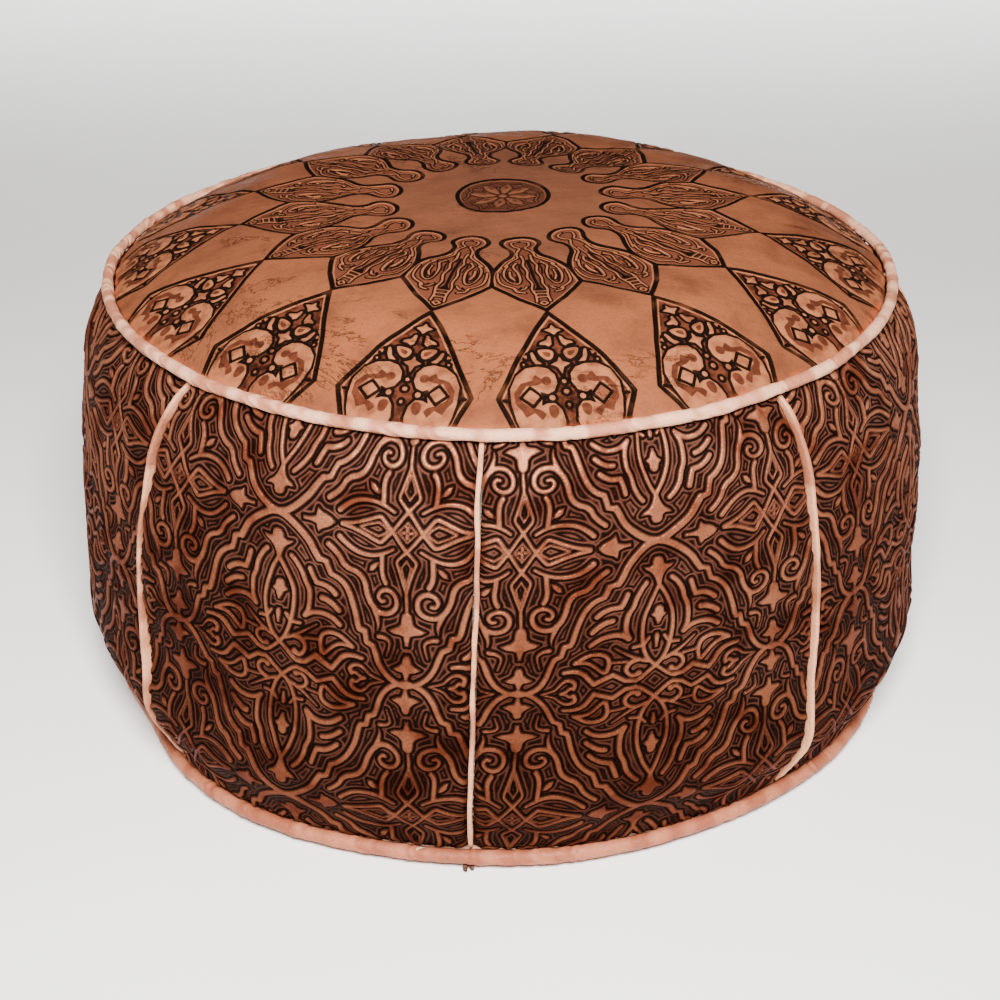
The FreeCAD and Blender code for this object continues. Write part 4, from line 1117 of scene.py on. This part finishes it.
class Nodes:
    """Short words for building one material's nodes."""

    def __init__(self, name):
        self.material = bpy.data.materials.new(name)
        self.material.use_nodes = True
        self.tree = self.material.node_tree
        self.tree.nodes.clear()
        self.output = self.tree.nodes.new("ShaderNodeOutputMaterial")
        self.shader = self.tree.nodes.new("ShaderNodeBsdfPrincipled")
        self.tree.links.new(self.shader.outputs[0], self.output.inputs[0])
        self.place = self.tree.nodes.new("ShaderNodeTexCoord").outputs["Object"]

    def put(self, node, key, value):
        """Links a socket to one of a node's inputs, or sets the input to a value."""
        if isinstance(value, bpy.types.NodeSocket):
            self.tree.links.new(value, node.inputs[key])
        elif value is not None:
            if isinstance(value, tuple) and len(value) == 3 and node.inputs[key].type == "RGBA":
                value = (*value, 1.0)
            node.inputs[key].default_value = value

    def set(self, **sockets):
        """Sets the shader's inputs, named with _ for each space."""
        for key, value in sockets.items():
            self.put(self.shader, key.replace("_", " "), value)

    def math(self, operation, a, b=None, c=None):
        node = self.tree.nodes.new("ShaderNodeMath")
        node.operation = operation
        for slot, value in enumerate((a, b, c)):
            self.put(node, slot, value)
        return node.outputs[0]

    def times(self, a, b):
        return self.math("MULTIPLY", a, b)

    def plus(self, a, b):
        return self.math("ADD", a, b)

    def between(self, value, low, high, out_low=0.0, out_high=1.0, kind="SMOOTHSTEP"):
        """Maps low..high onto out_low..out_high, smoothly unless kind is LINEAR."""
        node = self.tree.nodes.new("ShaderNodeMapRange")
        node.interpolation_type = kind
        for key, number in zip(range(5), (value, low, high, out_low, out_high)):
            self.put(node, key, number)
        return node.outputs[0]

    def field(self, name):
        """A number stored at each point of the mesh."""
        node = self.tree.nodes.new("ShaderNodeAttribute")
        node.attribute_name = name
        return node.outputs["Fac"]

    def noise(self, scale, detail=3.0, roughness=0.5, distortion=0.0, place=None):
        node = self.tree.nodes.new("ShaderNodeTexNoise")
        self.put(node, "Vector", place or self.place)
        self.put(node, "Scale", scale)
        self.put(node, "Detail", detail)
        self.put(node, "Roughness", roughness)
        self.put(node, "Distortion", distortion)
        return node.outputs["Fac"]

    def cells(self, scale):
        """Distance to the nearest of many scattered points."""
        node = self.tree.nodes.new("ShaderNodeTexVoronoi")
        self.put(node, "Vector", self.place)
        self.put(node, "Scale", scale)
        return node.outputs["Distance"]

    def waves(self, scale, distortion, place, detail):
        node = self.tree.nodes.new("ShaderNodeTexWave")
        self.put(node, "Vector", place)
        self.put(node, "Scale", scale)
        self.put(node, "Distortion", distortion)
        self.put(node, "Detail", detail)
        return node.outputs["Fac"]

    def stretched(self, scale, turn=(0.0, 0.0, 0.0)):
        """The object's own coordinates, turned and scaled."""
        node = self.tree.nodes.new("ShaderNodeMapping")
        self.put(node, "Vector", self.place)
        self.put(node, "Rotation", turn)
        self.put(node, "Scale", scale)
        return node.outputs[0]

    def mix(self, share, a, b, blend="MIX"):
        node = self.tree.nodes.new("ShaderNodeMix")
        node.data_type = "RGBA"
        node.blend_type = blend
        self.put(node, 0, share)
        self.put(node, 6, a)
        self.put(node, 7, b)
        return node.outputs[2]

    def dyed(self, share, colour, dye):
        """A colour multiplied by a dye, by that share."""
        return self.mix(share, colour, self.mix(1.0, colour, dye, "MULTIPLY"))

    def colours(self, value, stops):
        """A ramp through (place, colour) stops."""
        node = self.tree.nodes.new("ShaderNodeValToRGB")
        ramp_stops = node.color_ramp.elements
        while len(ramp_stops) < len(stops):
            ramp_stops.new(0.5)
        for stop, (place, colour) in zip(ramp_stops, stops):
            stop.position = place
            stop.color = (*colour, 1.0)
        self.put(node, 0, value)
        return node.outputs[0]

    def bumps(self, layers):
        """Stacks bump maps: each layer is (height, depth in metres)."""
        normal = None
        for height, depth in layers:
            node = self.tree.nodes.new("ShaderNodeBump")
            self.put(node, "Height", height)
            node.inputs["Strength"].default_value = 1.0
            node.inputs["Distance"].default_value = depth
            if normal is not None:
                self.put(node, "Normal", normal)
            normal = node.outputs[0]
        self.put(self.shader, "Normal", normal)


def tone(red, green, blue):
    """A colour given as it looks on screen (0..255), as the light it is."""
    parts = (c / 255 for c in (red, green, blue))
    return tuple(c / 12.92 if c <= 0.04045 else ((c + 0.055) / 1.055) ** 2.4 for c in parts)


def side_leather():
    """Embossed leather: copper-tan bands, black-brown grooves and brown contour ridges."""
    n = Nodes("embossed_side_leather")
    d = n.field("print")
    broad = n.noise(9.0, 3.0)
    patchy = n.noise(38.0, 4.0, 0.6)
    fine = n.noise(900.0, 3.0, 0.6)
    copper, copper_edge = tone(143, 91, 66), tone(98, 59, 44)
    groove, echo, ground = tone(13, 8, 7), tone(90, 55, 43), tone(38, 22, 18)
    # the print's colour at each distance from a band's edge, positive inside the band
    low, high = -9.0, 3.0
    profile = (
        (low, ground),
        (-5.2, groove),
        (-4.5, echo),
        (-4.0, echo),
        (-3.5, groove),
        (-2.8, groove),
        (-2.2, echo),
        (-1.7, echo),
        (-1.2, groove),
        (-0.3, groove),
        (0.2, copper_edge),
        (0.9, copper),
    )
    stops = [((distance - low) / (high - low), colour) for distance, colour in profile]
    base = n.colours(n.between(d, low, high, kind="LINEAR"), stops)
    base = n.dyed(n.between(broad, 0.35, 0.7, 0.0, 0.45), base, tone(178, 138, 120))
    base = n.dyed(n.between(patchy, 0.42, 0.68, 0.0, 0.8), base, tone(160, 112, 92))
    # the leather darkens towards the foot
    foot_darkening = n.plus(n.field("fall"), n.times(broad, 0.25))
    base = n.dyed(n.between(foot_darkening, 0.15, 1.0, 0.0, 0.85), base, tone(166, 150, 142))
    base = n.mix(n.between(fine, 0.35, 0.8, 0.0, 0.45), base, tone(34, 14, 8))
    height = n.between(d, -0.7, 0.5)
    ridge, far_ridge = (
        n.between(n.math("ABSOLUTE", n.plus(d, offset)), 0.75, 0.0) for offset in (RIDGE, FAR_RIDGE)
    )
    n.set(
        Base_Color=base,
        Roughness=n.between(n.plus(n.times(patchy, 0.6), height), 0.2, 1.5, 0.6, 0.33),
        Metallic=n.between(height, 0.2, 1.0, 0.0, 0.34),
        Specular_IOR_Level=0.02,
        Specular_Tint=(*tone(200, 140, 108), 1.0),
    )
    n.bumps(
        [
            (height, 0.0009), (ridge, 0.0005), (far_ridge, 0.0004),
            (n.noise(260.0, 4.0, 0.6), 0.0005), (n.cells(1500.0), 0.00012),
        ]
    )
    return n.material


def top_leather():
    """Plain tan leather with a tooled, ink-lined star, creases, pores and specks."""
    n = Nodes("tooled_top_leather")
    shape, tan, spot, ink = (n.field(name) for name in ("shape", "tan", "spot", "ink"))
    rim = n.field("rim")
    broad = n.noise(7.0, 3.0)
    cloudy = n.noise(30.0, 5.0, 0.62)
    fine = n.noise(700.0, 4.0, 0.65)
    # plain leather: patina, pores, creases darkened as painted shade, and specks of dirt; darker towards
    # the middle as painted shade
    plain = n.mix(n.between(broad, 0.3, 0.7), tone(102, 59, 39), tone(126, 72, 45))
    plain = n.mix(n.between(cloudy, 0.42, 0.72, 0.0, 0.7), plain, tone(80, 44, 30))
    plain = n.mix(n.between(fine, 0.45, 0.8, 0.0, 0.4), plain, tone(72, 35, 21))
    warp = n.stretched((1.0, 1.6, 1.0), (0.0, 0.0, 0.7))
    crease = n.math("ABSOLUTE", n.math("SUBTRACT", n.noise(9.0, 9.0, 0.72, 0.8, warp), 0.5))
    crease = n.times(n.between(crease, 0.008, 0.0), n.between(n.noise(13.0, 2.0), 0.52, 0.6))
    # painted shade: the creases are darkened
    plain = n.mix(n.times(crease, 0.32), plain, tone(52, 23, 14))
    # painted shade: darker towards the middle of the top, where the light falls off
    plain = n.mix(n.between(rim, 60.0, 190.0, 0.0, 0.5), plain, tone(78, 49, 37))
    speck = n.times(n.between(n.cells(55.0), 0.11, 0.05), n.between(n.noise(19.0, 1.0), 0.6, 0.66))
    plain = n.mix(n.times(speck, 0.85), plain, tone(32, 13, 8))
    # inside the star's shapes: a mottled ground, light shapes and brown spots; paler petals
    mottled = n.mix(n.between(n.noise(170.0, 3.0), 0.35, 0.65), tone(42, 18, 11), tone(80, 40, 26))
    light = n.mix(n.between(n.noise(120.0, 3.0), 0.35, 0.7), tone(136, 83, 54), tone(102, 57, 37))
    brown = n.mix(n.between(n.noise(210.0, 3.0), 0.4, 0.7), tone(54, 24, 15), tone(78, 37, 24))
    petals = n.between(rim, 88.0, 94.0)
    petal_ground = n.mix(n.between(broad, 0.3, 0.7), tone(66, 34, 23), tone(92, 50, 34))
    mottled = n.mix(petals, mottled, petal_ground)
    light = n.mix(petals, light, tone(124, 74, 49))
    inside = n.mix(n.between(tan, -0.25, 0.25), mottled, light)
    frame_band = n.times(n.between(shape, 0.6, 1.0), n.between(shape, 2.7, 2.2))
    inside = n.mix(frame_band, inside, light)
    inside = n.mix(n.times(n.between(spot, -0.3, 0.3), 0.92), inside, brown)
    # ink: round the light shapes, in the drawn lines and, below, along each shape's outline
    reach = n.plus(tan, n.times(petals, -0.75))
    halo = n.times(n.between(reach, -1.8, -1.3), n.between(tan, 0.2, -0.2))
    halo = n.times(halo, n.between(shape, 1.2, 2.2))
    ink = n.plus(ink, n.times(petals, -0.35))
    lines = n.math("MAXIMUM", halo, n.between(ink, -0.55, -0.1))
    inside = n.mix(lines, inside, tone(12, 6, 5))
    # the medallion is darker
    inside = n.mix(n.between(rim, 205.0, 212.0, 0.0, 0.62), inside, tone(50, 26, 18))
    colour = n.mix(n.between(shape, 0.0, 0.4), plain, inside)
    outline = n.between(n.math("ABSOLUTE", shape), 1.65, 1.1)
    uneven = n.between(n.noise(60.0, 2.0), 0.25, 0.5, 0.75, 1.0)
    colour = n.mix(n.times(outline, uneven), colour, tone(10, 5, 4))
    # the gathered edge: a painted highlight on its puckers in places, and painted shade right at the seam
    seam_highlight = n.times(n.between(rim, 7.0, 1.0), n.between(n.noise(85.0, 3.0), 0.38, 0.62))
    # painted highlight: a lighter orange band on the puckers just inside the seam
    colour = n.mix(n.times(seam_highlight, 0.75), colour, tone(168, 76, 42))
    seam_shade = n.between(rim, 1.6, 0.2, 0.0, 0.8)
    colour = n.mix(seam_shade, colour, tone(48, 20, 13))
    n.set(
        Base_Color=colour,
        Roughness=n.between(cloudy, 0.3, 0.75, 0.42, 0.62),
        Specular_IOR_Level=0.14,
        Specular_Tint=(*tone(210, 155, 120), 1.0),
    )
    n.bumps(
        [
            (n.times(outline, -1.0), 0.0007), (n.times(lines, -1.0), 0.0004),
            (n.times(crease, -1.0), 0.0005), (n.noise(330.0, 4.0, 0.6), 0.00035),
            (n.cells(1300.0), 0.00012),
        ]
    )
    return n.material


def pipe_leather(name, light, dark, stain_colour, edge):
    """Soft undyed leather over a cord: pale, stained unevenly, finely wrinkled.

    edge says where painted shade darkens it, next to the seam it is sewn into or, on the side strips,
    where they run under the bottom piping: a field, its values where that starts and is full, and how
    much.
    """
    n = Nodes(name)
    stain_and_shade = n.field("stain_and_shade")
    cloud = n.noise(75.0, 4.0, 0.6)
    colour = n.mix(n.between(n.plus(stain_and_shade, n.times(cloud, 1.2)), 0.1, 1.2), light, dark)
    fine = n.noise(420.0, 4.0, 0.6)
    colour = n.mix(n.between(fine, 0.52, 0.8, 0.0, 0.5), colour, stain_colour)
    blots = n.times(n.between(n.cells(46.0), 0.26, 0.08), n.between(n.noise(23.0, 2.0), 0.5, 0.6))
    colour = n.mix(n.times(blots, 0.5), colour, stain_colour)
    # painted shade: darker towards where the piping is sewn in, and at the side strips' foot
    field, starts, full, share = edge
    colour = n.mix(n.between(n.field(field), starts, full, 0.0, share), colour, tone(96, 48, 32))
    n.set(
        Base_Color=colour,
        Roughness=n.between(cloud, 0.3, 0.7, 0.42, 0.6),
        Specular_IOR_Level=0.2,
        Subsurface_Weight=0.03,
        Subsurface_Scale=0.002,
    )
    n.bumps([(n.noise(150.0, 5.0, 0.6, 0.6), 0.0009), (n.cells(900.0), 0.0002)])
    return n.material


def seam_end_leather():
    """Dark, frayed leather of the seam's loose end."""
    n = Nodes("seam_end_leather_dark")
    cloud = n.noise(220.0, 5.0, 0.65)
    n.set(
        Base_Color=n.mix(n.between(cloud, 0.35, 0.7), tone(58, 30, 21), tone(120, 72, 50)),
        Roughness=n.between(cloud, 0.3, 0.7, 0.6, 0.8),
    )
    n.bumps([(n.noise(700.0, 4.0), 0.0005)])
    return n.material


def base_leather():
    """Rough undyed leather of the base, scuffed where it meets the floor."""
    n = Nodes("base_leather_rough")
    cloud = n.noise(14.0, 5.0, 0.6)
    colour = n.mix(n.between(cloud, 0.3, 0.7), tone(196, 142, 108), tone(168, 112, 80))
    scuffs = n.noise(60.0, 6.0, 0.7, 0.8, n.stretched((1.0, 5.0, 1.0), (0.0, 0.0, 0.3)))
    colour = n.mix(n.between(scuffs, 0.55, 0.75, 0.0, 0.55), colour, tone(124, 80, 58))
    rim = n.field("rim")
    colour = n.mix(n.between(rim, 26.0, 2.0, 0.0, 0.45), colour, tone(214, 160, 136))
    n.set(Base_Color=colour, Roughness=n.between(cloud, 0.3, 0.7, 0.6, 0.8))
    n.bumps([(n.noise(220.0, 5.0, 0.65), 0.0008), (n.cells(800.0), 0.0003)])
    return n.material


def fibre(name, light, dark, scale, depth):
    """Spun or matted fibre: thread, cord, wadding."""
    n = Nodes(name)
    strands = n.noise(scale, 5.0, 0.7, 1.5)
    cloud = n.noise(scale / 12, 3.0)
    mixed = n.plus(n.times(strands, 0.6), n.times(cloud, 0.4))
    n.set(
        Base_Color=n.mix(n.between(mixed, 0.35, 0.65), dark, light),
        Roughness=n.between(strands, 0.3, 0.7, 0.75, 0.95),
        Sheen_Weight=0.25,
        Sheen_Roughness=0.5,
    )
    n.bumps([(strands, depth)])
    return n.material


def woven(name, light, dark, pitch, depth):
    """A plain weave of that thread pitch in metres, crossing threads in two directions."""
    n = Nodes(name)
    scale = 0.5 / pitch
    warp = n.waves(scale, 0.6, n.stretched((1.0, 0.0, 0.0)), 1.0)
    weft = n.waves(scale, 0.6, n.stretched((0.0, 1.0, 0.6), (0.0, 0.0, math.pi / 2)), 1.0)
    cloth = n.math("MAXIMUM", warp, weft)
    cloud = n.noise(26.0, 4.0)
    colour = n.mix(n.between(cloth, 0.3, 0.9), dark, light)
    colour = n.mix(n.between(cloud, 0.4, 0.75, 0.0, 0.4), colour, dark)
    n.set(Base_Color=colour, Roughness=n.between(cloud, 0.3, 0.7, 0.8, 0.92), Sheen_Weight=0.15)
    n.bumps([(cloth, depth), (n.noise(1600.0, 2.0), depth / 2)])
    return n.material


def worn_brass():
    """Aged brass: warm metal, darker in its tarnish, with fine rubbing marks."""
    n = Nodes("zip_brass")
    tarnish = n.noise(130.0, 5.0, 0.65)
    marks = n.noise(900.0, 4.0, 0.6, 0.4, n.stretched((1.0, 7.0, 1.0)))
    colour = n.mix(n.between(tarnish, 0.4, 0.7), tone(200, 164, 96), tone(122, 92, 52))
    n.set(
        Base_Color=colour,
        Metallic=1.0,
        Roughness=n.between(n.plus(tarnish, n.times(marks, 0.5)), 0.4, 1.0, 0.26, 0.55),
    )
    n.bumps([(marks, 0.00008)])
    return n.material


def floor_surface():
    """A plain matt, near-white floor with the faintest unevenness."""
    n = Nodes("studio_floor")
    cloud = n.noise(3.0, 3.0)
    n.set(
        Base_Color=n.mix(n.between(cloud, 0.3, 0.7), tone(248, 247, 245), tone(251, 250, 249)),
        Roughness=0.85,
        Specular_IOR_Level=0.2,
    )
    return n.material


# ---------------------------------------------------------------- building it all


# How far the side seams' stitches lie under the panels' faces.
SIDE_THREAD_SINK = 6.0


def build_cover():
    """The side panels, the top, the piping and the base."""
    art = side_ornament()
    side = side_leather()
    for number in range(1, PANELS + 1):
        side_panel(number, art, side)
    top_panel(top_leather())
    pale = pipe_leather(
        "top_piping_leather",
        tone(202, 148, 118),
        tone(160, 100, 74),
        tone(108, 58, 40),
        ("from_seam", 0.75, 0.45, 0.9),
    )
    warm = pipe_leather(
        "bottom_piping_leather",
        tone(160, 95, 67),
        tone(136, 74, 50),
        tone(92, 45, 29),
        ("from_seam", 0.6, 0.35, 0.9),
    )
    strip = pipe_leather(
        "side_piping_leather",
        tone(196, 136, 102),
        tone(150, 92, 66),
        tone(96, 52, 36),
        ("foot", 0.25, 0.9, 0.75),
    )
    ring_pipe("top", TOP_PIPE, TOP_TILT + math.pi, 0.055, 81, (-64, 101), pale)
    ring_pipe("bottom", FOOT_PIPE, FOOT_TILT + math.pi, 0.045, 91, (-27, 148), warm)
    for number in range(1, PANELS + 1):
        side_pipe(number, strip)
    under = base_leather()
    base_half("pouf_base_back", 1, under, ["base_back"])
    base_half("pouf_base_front", -1, under, ["base_front"])


def build_inside():
    """The wadding and the liner round it."""
    wool = fibre("cotton_wadding", tone(236, 230, 214), tone(200, 190, 168), 240.0, 0.002)
    calico = woven("calico_cloth", tone(232, 222, 200), tone(196, 182, 154), 0.0011, 0.0002)
    stuffed_body("pouf_filling", 0.0, 1.6, 0.9, 101, wool, ["filling"])
    stuffed_body("pouf_liner", 1.1, 0.35, 0.25, 105, calico, ["lining_bag"])


def build_small_parts():
    """Thread, cords, the front seam's loose end and the zip's looks."""
    thread = fibre("waxed_thread", tone(226, 206, 176), tone(170, 142, 108), 2600.0, 0.0001)
    cord = fibre("jute_cord", tone(206, 182, 140), tone(150, 122, 84), 900.0, 0.0005)
    tail = seam_end_leather()
    for seam, sink in (("top", 0.0), ("side", SIDE_THREAD_SINK), ("bottom", 0.0)):
        settled_copy(f"{seam}_seam_stitches", f"pouf_{seam}_seam_stitches", thread, sink)
    settled_copy("top_welt_cord", "pouf_top_cord", cord)
    settled_copy("bottom_welt_cord", "pouf_bottom_cord", cord)
    seam_tail(tail)
    tape = woven("zip_tape_cloth", tone(150, 112, 84), tone(96, 66, 48), 0.0008, 0.0001)
    brass = worn_brass()
    for name, node in frame["nodes"].items():
        if not name.startswith("zip_"):
            continue
        cloth = tape if "tape" in name else thread if "stitches" in name else None
        node.data.materials.clear()
        node.data.materials.append(cloth or brass)


def build_stage():
    """The floor, a hair below the pouf, and the faint light from all round."""
    mesh = bpy.data.meshes.new("floor")
    size = 12.0
    corners = [(-size, -size, 0), (size, -size, 0), (size, size, 0), (-size, size, 0)]
    mesh.from_pydata(corners, [], [(0, 1, 2, 3)])
    floor = bpy.data.objects.new("floor", mesh)
    floor.data.materials.append(floor_surface())
    floor.location = (0, 0, -0.0004)
    bpy.context.scene.collection.objects.link(floor)
    world = bpy.data.worlds.new("studio")
    world.use_nodes = True
    world.node_tree.nodes["Background"].inputs[0].default_value = (1.0, 0.99, 0.98, 1)
    world.node_tree.nodes["Background"].inputs[1].default_value = 0.10
    bpy.context.scene.world = world


def area_light(name, place, target, size, power, colour=(1.0, 1.0, 1.0), spread=180):
    """A soft rectangular lamp that faces its target."""
    lamp = bpy.data.lights.new(name, "AREA")
    lamp.shape = "RECTANGLE"
    lamp.size, lamp.size_y = size
    lamp.energy = power
    lamp.color = colour
    lamp.spread = math.radians(spread)
    thing = bpy.data.objects.new(name, lamp)
    thing.location = place
    direction = Vector(np.array(target) - np.array(place))
    thing.rotation_euler = direction.to_track_quat("-Z", "Y").to_euler()
    bpy.context.scene.collection.objects.link(thing)


def build_lights():
    """A soft lamp above the camera, a faint one overhead and one that brightens the floor behind."""
    area_light("front_flash", (0.04, -1.22, 1.28), (0, 0, 0.15), (0.6, 0.42), 112.0, (1.0, 0.98, 0.96))
    area_light("top_soft", (0.0, -0.3, 2.6), (0, 0, 0.2), (0.7, 0.7), 2.0)
    area_light("back_soft", (0.0, 2.0, 2.2), (0, 2.4, 0.0), (3.4, 1.0), 62.0, spread=80)


def build_camera():
    """The camera, in front of the pouf and looking down on it."""
    lens = bpy.data.cameras.new("camera")
    lens.lens = 64.8
    lens.sensor_width = 36.0
    camera = bpy.data.objects.new("camera", lens)
    camera.location = (0.0, -1.0509, 0.6796)
    camera.rotation_euler = (math.radians(60.92), 0.0, 0.0)
    bpy.context.scene.collection.objects.link(camera)
    bpy.context.scene.camera = camera


build_cover()
build_inside()
build_small_parts()
build_stage()
build_lights()
build_camera()
